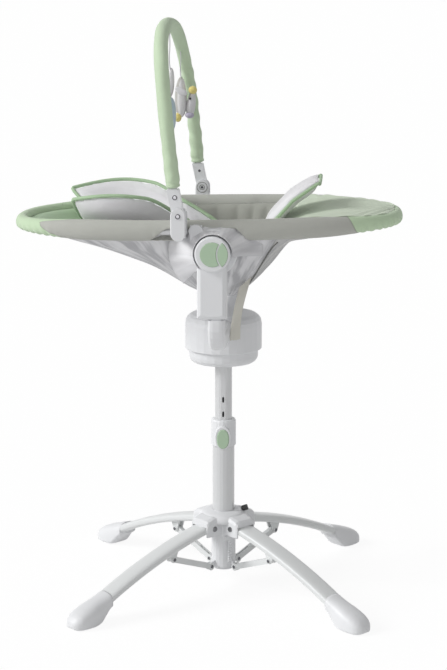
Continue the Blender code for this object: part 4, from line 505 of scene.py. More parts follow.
RING_MIDDLE_X = -31 * MM
RING_HALF_LENGTH = 390 * MM
RING_HALF_WIDTH = 212 * MM
RING_ROUNDNESS = 2.4
RIM_WIDE = 13.6 * MM
RIM_TALL = 20.4 * MM
RIM_SLIMMING = 6.6 * MM
SLIM_FROM = 215 * MM
SLIM_TO = 385 * MM
CUT_HEAD_SIDE = (-142 * MM, -88 * MM)
CUT_FOOT_SIDE = (38 * MM, 76 * MM)
RIM_LOW_TURN = -78
RIM_CUT_TURN = 14
RIM_HIGH_TURN = 258


def eased(value, low, high):
    share = min(max((value - low) / (high - low), 0), 1)
    return share * share * (3 - 2 * share)


def ring_height(x):
    """Height of the ring's middle line; x is measured from the column."""
    return 805 * MM + 0.02 * (x - RING_MIDDLE_X)


def ring_side(x):
    share = min(abs(x - RING_MIDDLE_X) / RING_HALF_LENGTH, 1)
    return RING_HALF_WIDTH * (1 - share ** RING_ROUNDNESS) ** (1 / RING_ROUNDNESS)


def ring_point(angle, inset=0.0):
    """Point on the ring's middle line, drawn in by an inset, with x from the column."""
    along, across = squircle(angle, RING_ROUNDNESS)
    x = RING_MIDDLE_X + along * (RING_HALF_LENGTH - inset)
    return Vector((x, across * (RING_HALF_WIDTH - inset), ring_height(x)))


def even_angle(share):
    """Angle at a share of the way round the ring, measured along it."""
    return float(np.interp(share, RING_SHARES, RING_ANGLES))


RING_ANGLES = np.linspace(0, 2 * math.pi, 1441)
ring_walk = [ring_point(angle) for angle in RING_ANGLES]
ring_steps = [(b - a).length for a, b in zip(ring_walk, ring_walk[1:])]
RING_LENGTH = sum(ring_steps)
RING_SHARES = np.concatenate(([0], np.cumsum(ring_steps))) / RING_LENGTH


def ring_frame(share):
    angle = even_angle(share)
    point = ring_point(angle)
    before = ring_point(angle - 0.01)
    after = ring_point(angle + 0.01)
    ahead = (after - before).normalized()
    return point, Vector((ahead.y, -ahead.x, 0)).normalized()


def slimness(x):
    """0 along the sides and 1 at the ends, where the rim cloth is drawn tighter over the tube."""
    return eased(abs(x - RING_MIDDLE_X), SLIM_FROM, SLIM_TO)


def hinge_cut(x, y):
    """1 over the hinge, where the rim's outer half is cut away, and 0 clear of it."""
    if abs(y) < 120 * MM:
        return 0.0
    return eased(x, *CUT_HEAD_SIDE) * (1 - eased(x, *CUT_FOOT_SIDE))


def rim_turn(x, y, share):
    """Angle round the rim's section: 0 is outward and 90 degrees is up."""
    start = math.radians(RIM_LOW_TURN + (RIM_CUT_TURN - RIM_LOW_TURN) * hinge_cut(x, y))
    return start + (math.radians(RIM_HIGH_TURN) - start) * share


def rim_place(u, v):
    point, outward = ring_frame(u)
    turn = rim_turn(point.x, point.y, v)
    along = u * RING_LENGTH
    ends = eased(point.x, 262 * MM, 300 * MM) + eased(-point.x, 300 * MM, 345 * MM)
    low = 1 - eased(math.sin(turn), -0.9, 0.5)
    wander = 2.2 * noise.noise(Vector((along * 22, 0, 1.7)))
    gather = 2.0 * MM * math.sin(along / (3.4 * MM) + wander + 2.0 * math.sin(turn)) * ends * low
    cut = hinge_cut(point.x, point.y)
    tuck = 1.2 * MM * math.sin(along / (2.6 * MM)) * 4 * cut * (1 - cut) * low
    soft = 0.9 * MM * noise.noise(Vector((along * 14, turn * 0.8, 0)))
    swell = gather + tuck + soft
    slim = slimness(point.x)
    inner = 4.5 * MM * cut if math.cos(turn) < 0 else -1.5 * MM * cut
    wide = RIM_WIDE + swell + inner - 0.8 * MM * slim
    tall = RIM_TALL + swell * 0.5 - RIM_SLIMMING * slim
    place = point + outward * (wide * math.cos(turn)) + UP * (tall * math.sin(turn))
    place.x += COLUMN_X
    return place


def rim_mint(x, turn):
    """Distance into the mint cloth, in metres; below zero the cloth is grey."""
    degrees = math.degrees(turn)
    above = eased(degrees, 25, 95)
    below = eased(-degrees, -25, -RIM_LOW_TURN)
    head = -362 * MM + 78 * MM * above + 52 * MM * below
    foot = 260 * MM + 22 * MM * (1 - eased(degrees, RIM_LOW_TURN, 90))
    return max(head - x, x - foot)


def finished(piece):
    """Apply the piece's modifiers."""
    graph = bpy.context.evaluated_depsgraph_get()
    mesh = bpy.data.meshes.new_from_object(piece.evaluated_get(graph))
    piece.modifiers.clear()
    piece.data = mesh
    return piece


def note(piece, name, values):
    """Give each point of the piece a number that its material can use."""
    attribute = piece.data.attributes.new(name, "FLOAT", "POINT")
    attribute.data.foreach_set("value", np.array(values, np.float32))


def as_cloth(piece, thickness):
    shell = piece.modifiers.new("cloth", "SOLIDIFY")
    shell.thickness = thickness
    shell.offset = 0
    return finished(piece)


def woven(name, colour, pitch=0.7 * MM, sheen=0.25):
    """Plain weave in one colour, with the slight mottle of washed cotton."""
    look = Look(name, 0.88, 0.0, sheen)
    cut = look.cut()
    threads = look.stripes(cut, 1 / pitch / 6.3, "X") + look.stripes(cut, 1 / pitch / 6.3, "Y")
    tone = look.clouds(look.place(), 55.0)
    look.tone = tone
    look.threads = threads
    look.colour(look.mix(tone, darker(colour, 0.93), colour))
    return look.relief(threads + tone * 3.0, 0.12 * MM, 0.7)


def two_tone(name, first, second, seam="mint"):
    """Woven cloth that changes colour across a stitched seam, darkened along the seam as painted shade in
    its groove.
    """
    look = woven(name, first)
    distance = look.mark(seam)
    share = distance.ramp(-0.5 * MM, 0.5 * MM)
    tone = look.tone
    one = look.mix(tone, darker(first, 0.93), first)
    two = look.mix(tone, darker(second, 0.93), second)
    # painted shade: the cloth darkened along the seam's groove
    groove = 1 - distance.size().ramp(0.4 * MM, 1.6 * MM)
    plain = look.mix(share, one, two)
    look.colour(look.mix(groove * 0.35, plain, paint(120, 126, 112)))
    return look.relief(look.threads * 0.4 + tone - groove * 6.0, 0.16 * MM, 0.8)


rim = surface("rim_cover", 620, 26, rim_place, cut=(RING_LENGTH, 0.1))
marks = []
for vert in rim.data.vertices:
    x, y = vert.co.x - COLUMN_X, vert.co.y
    along = abs(x - RING_MIDDLE_X)
    across = abs(y) - ring_side(x) if along < 330 * MM else math.hypot(along, y) - along
    turn = math.atan2((vert.co.z - ring_height(x)) / RIM_TALL, across / RIM_WIDE)
    marks.append(rim_mint(x, turn if turn > -1.5 else turn + 2 * math.pi))
note(rim, "mint", marks)
as_cloth(rim, 1.2 * MM)
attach(rim, "seat")
rim_look = two_tone("rim_cloth", GREY, MINT)
dress(rim_look, rim)
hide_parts("rim_cloth")


# Hammock: a white cotton bowl sewn to the rim below the ring, pulled into creases and folds by its weight.
# Its foot side is a grey panel behind a dark piped seam. A grey lining, mint at the head, is sewn inside.

HAMMOCK_LINE = (
    (-500, 793), (-330, 775), (-222, 738), (-138, 705), (-97, 680), (-61, 657), (-20, 642), (12, 640),
    (38, 649), (65, 674), (88, 698), (108, 722), (128, 752), (154, 776), (230, 786), (500, 800))
HAMMOCK_BOTTOM = Vector((6 * MM, 0, 0))
HAMMOCK_DROP = 22.5 * MM
HAMMOCK_SLIMMING = 8.5 * MM


def along_line(line, x):
    xs = [a for a, b in line]
    zs = [b for a, b in line]
    near = (-14, -7, 0, 7, 14)
    return sum(float(np.interp(x / MM + step, xs, zs)) for step in near) / len(near) * MM


def seat_height(x, y):
    """Height of the hammock over a place in the seat, folds left out; x is from the column."""
    side = max(ring_side(x) - 2.5 * MM, 1 * MM)
    rim_z = ring_height(x) - HAMMOCK_DROP + HAMMOCK_SLIMMING * slimness(x)
    bottom = min(along_line(HAMMOCK_LINE, x), rim_z - 1 * MM)
    return bottom + (rim_z - bottom) * min(1, abs(y) / side) ** 2.2


def bowl_place(u, v, offset, folds):
    """Point of the bowl: v 0 is the rim and 1 the lowest point; folds gives how deep the cloth folds."""
    angle = even_angle(u)
    edge = ring_point(angle)
    lift = 1.0 if offset > 0 else hinge_cut(edge.x, edge.y)
    slim = slimness(edge.x) * (1 - lift)
    edge = ring_point(angle, (3 + 10.5 * lift + 4 * slim) * MM - offset * 0.3)
    share = 1 - v
    flat = Vector((edge.x, edge.y, 0))
    place = HAMMOCK_BOTTOM + (flat - HAMMOCK_BOTTOM) * share
    place.z = seat_height(place.x, place.y)
    top = eased(share, 0.86, 1.0)
    sewn = edge.z - 20 * MM + 21 * MM * lift + HAMMOCK_SLIMMING * slim
    place.z += (sewn - place.z) * top
    inward = (HAMMOCK_BOTTOM - flat).normalized()
    depth = folds(angle, share, place.x)
    place += inward * depth - UP * (depth * 0.6)
    place += inward * (offset * min(1, share * 1.4)) + UP * (offset * (1 - 0.5 * share))
    place.x += COLUMN_X
    return place


def outer_folds(angle, share, x):
    """Depth of the outer cloth's creases: long folds, finer ones at the foot and drawn diagonals."""
    weight = math.sin(math.pi * min(1, share * 1.02)) ** 0.8
    wander = 0.5 * noise.noise(Vector((3 * math.cos(angle), 3 * math.sin(angle), share * 2)))
    folds = 3.0 * (math.cos(11 * angle + 4 * wander) + 0.6 * math.cos(23 * angle + 1.3 + 5 * wander))
    folds += 1.26 * math.cos(47 * angle + 6 * wander) * eased(x, -40 * MM, 60 * MM)
    creases = abs(math.sin(9 * angle + 2.4 + 5 * wander)) ** 0.5 - 0.7
    folds += 5.5 * creases * eased(share, 0.15, 0.6)
    radial = noise.noise(Vector((7 * math.cos(angle), 7 * math.sin(angle), share * 3.0)))
    folds += 2.4 * math.sin(31 * angle + 9 * share + 6 * radial) * eased(share, 0.1, 0.5)
    drawn = 1 - 0.6 * eased(-x, 150 * MM, 300 * MM)
    return folds * MM * weight * drawn


def lining_folds(angle, share, x):
    """Depth of the lining's even pleats along the sides and its gathers at the head."""
    rim_ward = eased(share, 0.30, 0.7) * (1 - eased(share, 0.95, 1.0))
    sides = eased(x, -130 * MM, -90 * MM) * (1 - eased(x, 120 * MM, 160 * MM))
    pleats = abs(math.sin(38 * angle)) ** 0.7 * sides
    head = eased(-x, 190 * MM, 260 * MM)
    wander = noise.noise(Vector((4 * math.cos(angle), 4 * math.sin(angle), share * 1.5)))
    gathers = math.cos(34 * angle + 7 * wander) * head * math.sin(math.pi * share)
    return (5.0 * (pleats - 0.5) * rim_ward + 4.2 * gathers) * MM


def crease_shade(look, strength):
    """Grey the cloth's colour in streaks that run down from the rim, as painted shade in the hollows of its
    creases; return the streaks.
    """
    plain = Value(look, look.shader.inputs["Base Color"].links[0].from_socket)
    cut = look.cut()
    stretch = look.node("ShaderNodeVectorMath", {"operation": "MULTIPLY"}, {0: cut, 1: (30.0, 5.0, 1.0)})
    shade_streaks = look.clouds(Value(look, stretch.outputs[0]), 1.6, 3.0).ramp(0.36, 0.62)
    # painted shade: the cloth drawn towards grey in the hollows of its creases
    look.colour(look.mix((1 - shade_streaks) * 0.75 * strength, plain, paint(170, 170, 174)))
    return shade_streaks


def seam_x(y):
    """Where the seam of the foot panel runs: a rounded V across the bowl; x is from the column."""
    return 20 * MM + 0.52 * math.hypot(y, 20 * MM)


bowl = surface(
    "hammock_cover", 360, 46, lambda u, v: bowl_place(u, v, -1.6 * MM, outer_folds), cut=(1.96, 0.4))
note(bowl, "panel", [vert.co.x - COLUMN_X - seam_x(vert.co.y) for vert in bowl.data.vertices])
as_cloth(bowl, 1.0 * MM)
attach(bowl, "seat")
bowl_look = two_tone("hammock_cloth", paint(238, 238, 240), paint(218, 218, 216), "panel")
# painted shade greys the hammock's cloth in its creases; the same streaks also raise its relief
bowl_look.relief(crease_shade(bowl_look, 1.0) + bowl_look.threads * 0.1, 1.6 * MM, 0.7)
dress(bowl_look, bowl)
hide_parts("hammock")

lining = surface(
    "seat_lining", 420, 46, lambda u, v: bowl_place(u, v, 2.6 * MM, lining_folds), cut=(1.96, 0.4))
note(lining, "mint", [-232 * MM - (vert.co.x - COLUMN_X) for vert in lining.data.vertices])
as_cloth(lining, 1.0 * MM)
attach(lining, "seat")
lining_look = two_tone("lining_cloth", GREY_DEEP, MINT_DEEP)
dress(lining_look, lining)


def tube(name, path, radius, body=None, sides=12, closed=False, swell=None):
    """Round bar along a path; swell adds to its radius and takes the share along and the angle round it."""
    count = len(path)
    aheads = []
    for i in range(count):
        before = path[i - 1] if i or closed else path[i]
        after = path[(i + 1) % count] if i < count - 1 or closed else path[i]
        aheads.append((after - before).normalized())
    across = aheads[0].orthogonal().normalized()
    frames = []
    for ahead in aheads:
        across = (across - ahead * across.dot(ahead)).normalized()
        frames.append((across, ahead.cross(across)))

    def place(u, v):
        i = round(u * (count if closed else count - 1)) % count
        one, two = frames[i]
        angle = 2 * math.pi * v
        reach = radius + (swell(u, angle) if swell else 0)
        return path[i] + one * (reach * math.cos(angle)) + two * (reach * math.sin(angle))

    return surface(name, count if closed else count - 1, sides, place, body, close=not closed)


seam_path = []
for step in range(121):
    y = (-196 + 392 * step / 120) * MM
    x = seam_x(y)
    away = Vector((x - HAMMOCK_BOTTOM.x, y, 0)).normalized()
    seam_path.append(Vector((x + COLUMN_X, y, seat_height(x, y) - 3.2 * MM)) + away * (1.8 * MM))
seam = tube("hammock_seam", seam_path, 1.4 * MM, "seat")
dress(woven("seam_cord", paint(126, 126, 122)), seam)


# Hinge aprons: the hammock's white cloth is drawn out over each hinge housing, round the disc and up under
# the rim's cut. Its inner edge lies a little outside the disc, so that it clears the arm as the seat tilts.

HINGE_Z = 765 * MM
APRON_INNER = 38.6 * MM
APRON_FACE_Y = 258.6 * MM
APRON_START = -8
APRON_SWEEP = 236


def apron_place(side, u, v):
    """u runs round the disc and v outward and inward to the hammock."""
    turn = math.radians(APRON_START + APRON_SWEEP * u)
    top = math.exp(-((turn - math.pi / 2) / 0.85) ** 2)
    outer = (96 - 48 * top) * MM
    reach = APRON_INNER + (outer - APRON_INNER) * v
    x = reach * math.cos(turn)
    z = HINGE_Z + reach * math.sin(turn)
    back = (186 + 34 * top) * MM
    wander = noise.noise(Vector((turn * 2, v, 3.3)))
    creases = 2.2 * MM * math.sin(13 * turn + 3 * v + 2.5 * wander) * math.sin(math.pi * v)
    y = APRON_FACE_Y + (back - APRON_FACE_Y) * v ** 0.75 + creases
    return Vector((x + COLUMN_X, side * y, z))


for side, label in ((-1, "near"), (1, "far")):
    apron = surface("hinge_apron_" + label, 150, 20, lambda u, v: apron_place(side, u, v), cut=(0.23, 0.05))
    as_cloth(apron, 1.0 * MM)
    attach(apron, "seat")
    apron_look = woven("apron_cloth_" + label, paint(238, 238, 240))
    # painted shade greys the apron's cloth in its creases
    crease_shade(apron_look, 0.6)
    dress(apron_look, apron)


# Foot cover: mint cloth drawn over the foot end of the ring like a hood, domed a little where feet rest.
# Its free edge is hemmed and lies under the flap.

COVER_LINE = (
    (100, 788), (112, 794), (140, 805), (164, 815), (183, 822), (213, 829), (262, 834), (320, 832),
    (345, 829), (372, 824))
COVER_START = 112 * MM
COVER_END = 356 * MM


def cover_place(u, v):
    """u runs from the hem to the foot end and v from side to side."""
    x = COVER_START + (COVER_END - COVER_START) * u
    across = 2 * v - 1
    side = ring_side(x) + 3.5 * MM * eased(u, 0.35, 0.75)
    y = side * across
    edge = ring_height(x) + RIM_TALL - RIM_SLIMMING * slimness(x) + 0.6 * MM
    middle = along_line(COVER_LINE, x)
    z = middle + (edge - middle) * abs(across) ** 3
    ripple = noise.noise(Vector((x * 16, across * 2.2, 0.4))) * (1 - abs(across) ** 4)
    rays = math.atan2(across * 1.3, (1.12 - u) * 2)
    pleat = math.sin(34 * rays + 3 * noise.noise(Vector((x * 20, across, 2.0))))
    pull = pleat * eased(math.hypot(across, u), 0.75, 1.15)
    hem = 1.6 * MM * (1 - eased(u, 0.0, 0.035))
    return Vector((x + COLUMN_X, y, z + 3.0 * MM * ripple + 1.1 * MM * pull - hem))


cover = surface("foot_hood", 90, 90, cover_place, cut=(0.28, 0.42))
as_cloth(cover, 1.2 * MM)
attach(cover, "seat")
dress(woven("mint_cover", MINT_PALE), cover)
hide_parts("foot_cover")


# Padded insert: a soft white cushion in brushed cotton with a wing up each side of the head, a flap at the
# foot and a mint piped edge. Each is filled by a short simulation of air pressure inside its own cloth.

FLAP_LINE = ((20, 655), (50, 692), (78, 746), (104, 802), (146, 846), (199, 880))
FLAP_SHARES = [i / (len(FLAP_LINE) - 1) for i in range(len(FLAP_LINE))]


def pad_middle(u, v):
    """Middle face of the cushion: u runs head to seat, v across from -1 to 1; x from the column."""
    x = (-258 + 242 * u) * MM - (62 * abs(v) ** 1.6 + 24 * v * abs(v)) * MM * (1 - u)
    width = (112 + 62 * math.sin(math.pi * min(u * 1.15 + 0.12, 1))) * MM
    y = width * v
    rest = seat_height(x, y) + (16.5 + 14 * (1 - u) ** 2) * MM
    lift = 8 * MM * (1 - u) * (v < 0)
    wing = (846 + 16 * math.sin(math.pi * min(u * 1.4, 1))) * MM + lift - 0.24 * max(0, u - 0.55) ** 1.5
    return Vector((x, y, rest + max(0, wing - rest) * abs(v) ** 4))


def flap_middle(u, v):
    """Middle face of the foot flap: u runs from the seat up to the tip."""
    x = float(np.interp(u, FLAP_SHARES, [a for a, b in FLAP_LINE])) * MM
    z = float(np.interp(u, FLAP_SHARES, [b for a, b in FLAP_LINE])) * MM
    width = (52 + 40 * math.sin(math.pi * 0.8 * u)) * MM
    return Vector((x, width * v, z + 9 * MM * u * v ** 2))


def face_normal(middle, u, v):
    step = 0.01
    along = middle(min(u + step, 1), v) - middle(max(u - step, 0), v)
    across = middle(u, min(v + step, 1)) - middle(u, max(v - step, -1))
    return along.cross(across).normalized()


def cushion(name, middle, thickness, columns, rows):
    """Closed cushion round a middle face, with rounded edges."""
    def place(u, v):
        angle = 2 * math.pi * v
        c, s = math.cos(angle), math.sin(angle)
        across = math.copysign(abs(c) ** 0.55, c)
        end = max(0, 1 - (2 * abs(u - 0.5)) ** 7)
        reach = math.copysign(abs(s) ** 0.6, s) * thickness / 2 * (0.25 + 0.75 * end ** 0.5)
        where = middle(u, across) + face_normal(middle, u, across) * reach
        where.x += COLUMN_X
        return where
    return surface(name, columns, rows, place, close=True)


def piping(name, middle, radius, body, shift=0.0, count=90):
    """Corded edge all round a middle face; shift moves it off that face."""
    half = count // 2
    path = [(i / count, -1) for i in range(count)]
    path += [(1, -1 + 2 * i / half) for i in range(half)]
    path += [(1 - i / count, 1) for i in range(count)]
    path += [(0, 1 - 2 * i / half) for i in range(half)]
    places = []
    for u, v in path:
        where = middle(u, v) + face_normal(middle, u, v) * shift
        where.x += COLUMN_X
        places.append(where)
    afters = places[1:] + places[:1]
    smooth = [(places[i - 1] + places[i] * 2 + after) / 4 for i, after in enumerate(afters)]
    return tube(name, smooth, radius, body, 10, True)


def filled(piece, pressure, limit, edge, hold):
    """Blow a cushion up a little inside its own cloth, at most by the limit; near its piping it is held."""
    remesh = piece.modifiers.new("even", "REMESH")
    remesh.mode = "VOXEL"
    remesh.voxel_size = 4.5 * MM
    finished(piece)
    rest = np.array([vert.co for vert in piece.data.vertices])
    cloth = piece.modifiers.new("air", "CLOTH")
    cloth.settings.use_pressure = True
    cloth.settings.uniform_pressure_force = pressure
    cloth.settings.tension_stiffness = 12
    cloth.settings.compression_stiffness = 12
    cloth.settings.bending_stiffness = 0.3
    cloth.settings.mass = 0.2
    cloth.settings.effector_weights.gravity = 0
    cloth.collision_settings.use_self_collision = False
    for moment in range(1, 21):
        scene.frame_set(moment)
    graph = bpy.context.evaluated_depsgraph_get()
    seen = piece.evaluated_get(graph).data
    moved = np.array([vert.co for vert in seen.vertices]) - rest
    piece.modifiers.clear()
    scene.frame_set(1)
    cords = np.array([vert.co for vert in edge.data.vertices])[::5]
    nearest = np.full(len(rest), 1.0)
    for start in range(0, len(rest), 2000):
        part = rest[start:start + 2000]
        gaps = np.linalg.norm(part[:, None, :] - cords[None, :, :], axis=2)
        nearest[start:start + 2000] = gaps.min(axis=1)
    free = np.clip(nearest / hold, 0, 1)[:, None]
    length = np.linalg.norm(moved, axis=1)[:, None]
    capped = moved * np.minimum(1, limit / np.maximum(length, 1e-9)) * free
    piece.data.vertices.foreach_set("co", (rest + capped).astype(np.float32).ravel())
    piece.data.update()
    smoother = piece.modifiers.new("smooth", "CORRECTIVE_SMOOTH")
    smoother.iterations = 6
    smoother.use_only_smooth = True
    finer = piece.modifiers.new("finer", "SUBSURF")
    finer.levels = 1
    finer.render_levels = 1
    finished(piece)
    piece.data.shade_smooth()


def brushed(name, colour):
    """Brushed cotton: soft nap with no visible weave."""
    look = Look(name, 0.92, 0.0, 0.35)
    place = look.place()
    tone = look.clouds(place, 38.0)
    look.colour(look.mix(tone, darker(colour, 0.94), colour))
    return look.relief(look.clouds(place, 900.0, 4.0) + tone * 1.5, 0.25 * MM, 0.6)


mint_cord = woven("mint_piping", MINT_DEEP)
pad_white = brushed("pad_cotton", PAD_WHITE)

insert = cushion("insert_cushion", pad_middle, 15 * MM, 60, 96)
insert_edge = piping("insert_piping", pad_middle, 3.8 * MM, "seat")
dress(mint_cord, insert_edge)
filled(insert, 4.0, 7 * MM, insert_edge, 22 * MM)
for vert in insert.data.vertices:
    x, y = vert.co.x - COLUMN_X, vert.co.y
    channel = math.exp(-((abs(y) - 78 * MM) / (5 * MM)) ** 2)
    vert.co += UP * (-2.0 * MM * channel * eased(vert.co.z, 0.60, 0.80))
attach(insert, "seat")
dress(pad_white, insert)
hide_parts("insert_pad")

flap = cushion("flap_cushion", flap_middle, 17 * MM, 44, 48)
flap_edge = piping("flap_piping", flap_middle, 3.4 * MM, "seat", -4 * MM)
dress(mint_cord, flap_edge)
filled(flap, 4.0, 5 * MM, flap_edge, 14 * MM)
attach(flap, "seat")
dress(pad_white, flap)
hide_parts("foot_flap")


# Belt end: cream woven webbing that comes out under the hammock and hangs twisted beside the drum. Its
# lower end stays by the drum when the seat reclines.

STRAP_TOP = Vector((54, -113, 686)) * MM + Vector((COLUMN_X, 0, 0))
STRAP_FALL = 121 * MM
STRAP_SWEEP = 21 * MM
STRAP_TWIST = math.radians(38)


def strap_place(u, v):
    ends = 1 + 0.1 * math.exp(-((1 - u) / 0.12) ** 2)
    width = (25 - 6 * math.sin(math.pi * min(1, u * 1.15)) - 2 * u) * MM * ends
    across = (v - 0.5) * width
    curl = 2.2 * MM * math.sin(math.pi * v) * math.sin(5 * u + 0.6)
    turn = STRAP_TWIST * eased(u, 0.25, 1.0)
    slope = 0.9 * max(0, 1 - u * 2.2)
    fray = 3.0 * MM * eased(u, 0.985, 1.0) * noise.noise(Vector((v * 30, 0, 4.1)))
    where = STRAP_TOP + Vector((-STRAP_SWEEP * math.sin(u * math.pi / 2), 0, fray - STRAP_FALL * u))
    where += Vector((math.cos(turn), math.sin(turn), slope)) * across
    where += Vector((-math.sin(turn), math.cos(turn), 0)) * curl
    return where


strap = surface("belt_end", 90, 14, strap_place, cut=(0.15, 0.024))
as_cloth(strap, 1.5 * MM)
webbing = woven("webbing", paint(222, 220, 210), 1.4 * MM)
dress(webbing, strap)
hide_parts("harness_strap")
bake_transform(strap)


# Arch sleeve: mint quilted tunnel over the arch's bar, with a sewn seam along its inside and slack creases
# where the far leg bends down to its socket.

ARCH_HALF_WIDTH = 248 * MM
ARCH_LOW = 891 * MM
ARCH_SLEEVE_LOW = 893 * MM
ARCH_SHOULDER = 960 * MM
ARCH_RISE = 240 * MM
ARCH_ROUNDNESS = 2.7


def arch_x(z):
    """The arch leans and bows back towards the head as it rises."""
    rise = z - ARCH_LOW
    return COLUMN_X - 78 * MM - 0.085 * rise - 0.10 * rise ** 2


def arch_path(low, legs, crown, count):
    """Even points up one leg, over the crown and down the other, and the length of the way."""
    points = []
    for i in range(legs):
        points.append((-ARCH_HALF_WIDTH, low + (ARCH_SHOULDER - low) * i / legs))
    for i in range(crown + 1):
        across, up = squircle(math.pi * (1 - i / crown), ARCH_ROUNDNESS)
        points.append((across * ARCH_HALF_WIDTH, ARCH_SHOULDER + up * ARCH_RISE))
    points += [(-y, z) for y, z in points[:legs][::-1]]
    places = [Vector((arch_x(z), y, z)) for y, z in points]
    walked = [0.0]
    for a, b in zip(places, places[1:]):
        walked.append(walked[-1] + (b - a).length)
    spread = []
    for i in range(count + 1):
        want = walked[-1] * i / count
        spread.append(Vector([float(np.interp(want, walked, [p[k] for p in places])) for k in range(3)]))
    return spread, walked[-1]


sleeve_line, sleeve_length = arch_path(ARCH_SLEEVE_LOW, 12, 80, 360)


def sleeve_swell(u, angle):
    where = u * sleeve_length
    end = min(where, sleeve_length - where)
    hem = -1.6 * MM * math.exp(-((end - 9 * MM) / (1.6 * MM)) ** 2)
    close = -4.5 * MM * (1 - eased(end, 0, 2.5 * MM))
    seam = -1.2 * MM * math.exp(-((angle - math.pi) / 0.14) ** 2)
    slack = eased(u, 0.72, 0.8) + eased(-u, -0.16, -0.04) * 0.6
    creases = 0.9 * MM * math.sin(where / (5.5 * MM) + 2.2 * math.sin(angle))
    creases *= slack * eased(end, 6 * MM, 20 * MM)
    soft = 1.0 * MM * noise.noise(Vector((where * 18, math.cos(angle), math.sin(angle))))
    return hem + close + seam + creases + soft


sleeve = tube("arch_cover", sleeve_line, 14.2 * MM, "arch", 36, swell=sleeve_swell)
dress(woven("mint_sleeve", paint(208, 228, 196)), sleeve)
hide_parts("arch_sleeve")


# Toys: two plain plush pieces on ribbons. One is a grey and white leaf with a pale blue tail, the other a
# small grey stuffed animal with a white belly, yellow tufts and one stitched eye.

def plush(name, colour, belly=None, edge=0.1):
    look = Look(name, 0.95, 0.0, 0.4)
    place = look.place()
    tone = look.clouds(place, 120.0)
    fur = look.clouds(place, 1600.0, 5.0)
    shade = look.mix(tone, darker(colour, 0.86), colour)
    if belly:
        light = look.mix(tone, darker(belly, 0.92), belly)
        shade = look.mix(look.mark("belly").ramp(-edge, edge), shade, light)
    look.colour(shade)
    return look.relief(fur + tone, 0.5 * MM, 0.8)


def stuffed(name, middle, size, body, lean=0.0, neck=0.0, look=None, belly=None):
    """Stuffed form: an egg that narrows towards its top, with a softly uneven skin."""
    bm = bmesh.new()
    bmesh.ops.create_icosphere(bm, subdivisions=5, radius=0.5)
    turn = Matrix.Rotation(lean, 3, "Y")
    values = []
    for vert in bm.verts:
        start = vert.co.copy()
        if belly:
            values.append(start.dot(Vector(belly)) * 2 - 0.25)
        swell = 1 - neck * (start.z + 0.5) + 0.05 * noise.noise(start * 3.1)
        local = Vector((start.x * size[0] * swell, start.y * size[1] * swell, start.z * size[2])) * MM
        vert.co = turn @ local + Vector(middle)
    bmesh.ops.recalc_face_normals(bm, faces=bm.faces)
    mesh = bpy.data.meshes.new(name)
    bm.to_mesh(mesh)
    bm.free()
    mesh.shade_smooth()
    made = bpy.data.objects.new(name, mesh)
    scene.collection.objects.link(made)
    if belly:
        note(made, "belly", values)
    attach(made, body)
    dress(look, made)
    return made


def ribbon(name, x, y, top, bottom, width, body, look):
    """Ribbon sewn into the sleeve's seam, with a soft wave."""
    def place(u, v):
        z = top + (bottom - top) * u
        wave = 1.6 * MM * math.sin(7 * u) * u
        return Vector((x + wave, y + (v - 0.5) * width * (1 - 0.12 * math.sin(math.pi * u)), z))
    made = surface(name, 40, 6, place, cut=(0.07, 0.011))
    as_cloth(made, 0.9 * MM)
    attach(made, body)
    dress(look, made)
    return made


pale_look = woven("pale_ribbon", paint(222, 221, 226), 0.9 * MM)
grey_plush = plush("grey_plush", paint(196, 194, 190), paint(238, 237, 238))
white_plush = plush("white_plush", paint(234, 233, 236))
head_plush = plush("head_plush", paint(192, 190, 192), paint(222, 221, 224))
blue_plush = plush("blue_plush", paint(196, 216, 226))
yellow_plush = plush("yellow_plush", paint(240, 224, 140))
lilac_plush = plush("lilac_plush", paint(192, 186, 206))
black_eye = moulded("eye_black", paint(40, 40, 42), 0.25)

def box_middle(node):
    low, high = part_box(node)
    return (low + high) / 2


RIBBON_WIDTH = 11 * MM
RIBBON_LAP = 4 * MM

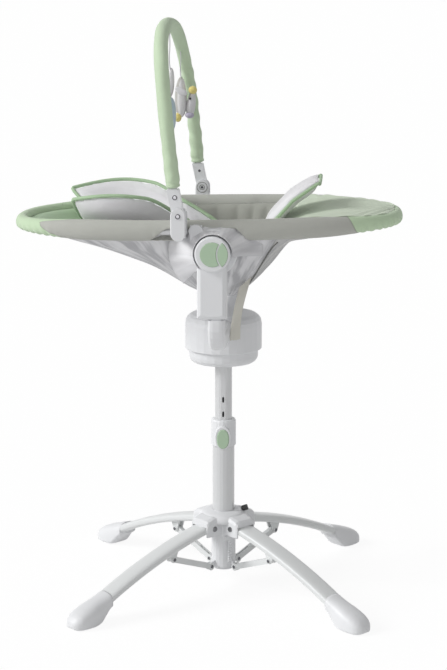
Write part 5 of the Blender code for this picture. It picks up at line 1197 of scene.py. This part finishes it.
low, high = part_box("toy_a_ribbon")
x, y = (low.x + high.x) / 2, (low.y + high.y) / 2
band_a = ribbon("toy_a_band", x, y, high.z, low.z - RIBBON_LAP, RIBBON_WIDTH, "toy_a", pale_look)
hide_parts("toy_a_ribbon")
leaf_middle = box_middle("toy_a_body")
leaf = stuffed("toy_a_leaf", leaf_middle, (19, 29, 62), "toy_a", 0.08, 0.25, grey_plush, (-0.2, -0.9, 0.3))
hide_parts("toy_a_body")
tail = stuffed("toy_a_end", box_middle("toy_a_tail"), (17, 32, 70), "toy_a", -0.05, -0.3, blue_plush)
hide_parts("toy_a_tail")

low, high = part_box("toy_b_ribbon")
x, y = (low.x + high.x) / 2, (low.y + high.y) / 2
band_b = ribbon("toy_b_band", x, y, high.z - 2.5 * MM, low.z - RIBBON_LAP, RIBBON_WIDTH, "toy_b", pale_look)
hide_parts("toy_b_ribbon")
body_middle = box_middle("toy_b_body")
torso = stuffed("toy_b_torso", body_middle, (29, 33, 88), "toy_b", 0.0, 0.2, grey_plush, (0.6, -0.6, -0.1))
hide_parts("toy_b_body")
head_middle = box_middle("toy_b_head")
skull = stuffed("toy_b_skull", head_middle, (24, 29, 56), "toy_b", 0.15, 0.3, head_plush, (0.7, -0.5, 0.3))
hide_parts("toy_b_head")
eye_spot = head_middle + Vector((-1, -11.5, 12)) * MM
stuffed("toy_b_eye", eye_spot, (5, 3, 5), "toy_b", look=black_eye)
tuft_spot = head_middle + Vector((4, -3, 30)) * MM
tuft = stuffed("toy_b_tuft", tuft_spot, (19, 18, 18), "toy_b", look=yellow_plush)
foot_spot = body_middle + Vector((-6, -6, -43)) * MM
foot_tuft = stuffed("toy_b_foot", foot_spot, (16, 16, 20), "toy_b", look=yellow_plush)
muzzle_spot = head_middle + Vector((-3, -4, -24)) * MM
muzzle = stuffed("toy_b_muzzle", muzzle_spot, (20, 20, 14), "toy_b", look=lilac_plush)
wing_spot = body_middle + Vector((2, -13, 14)) * MM
wing = stuffed("toy_b_wing", wing_spot, (30, 7, 15), "toy_b", 0.5, look=white_plush)
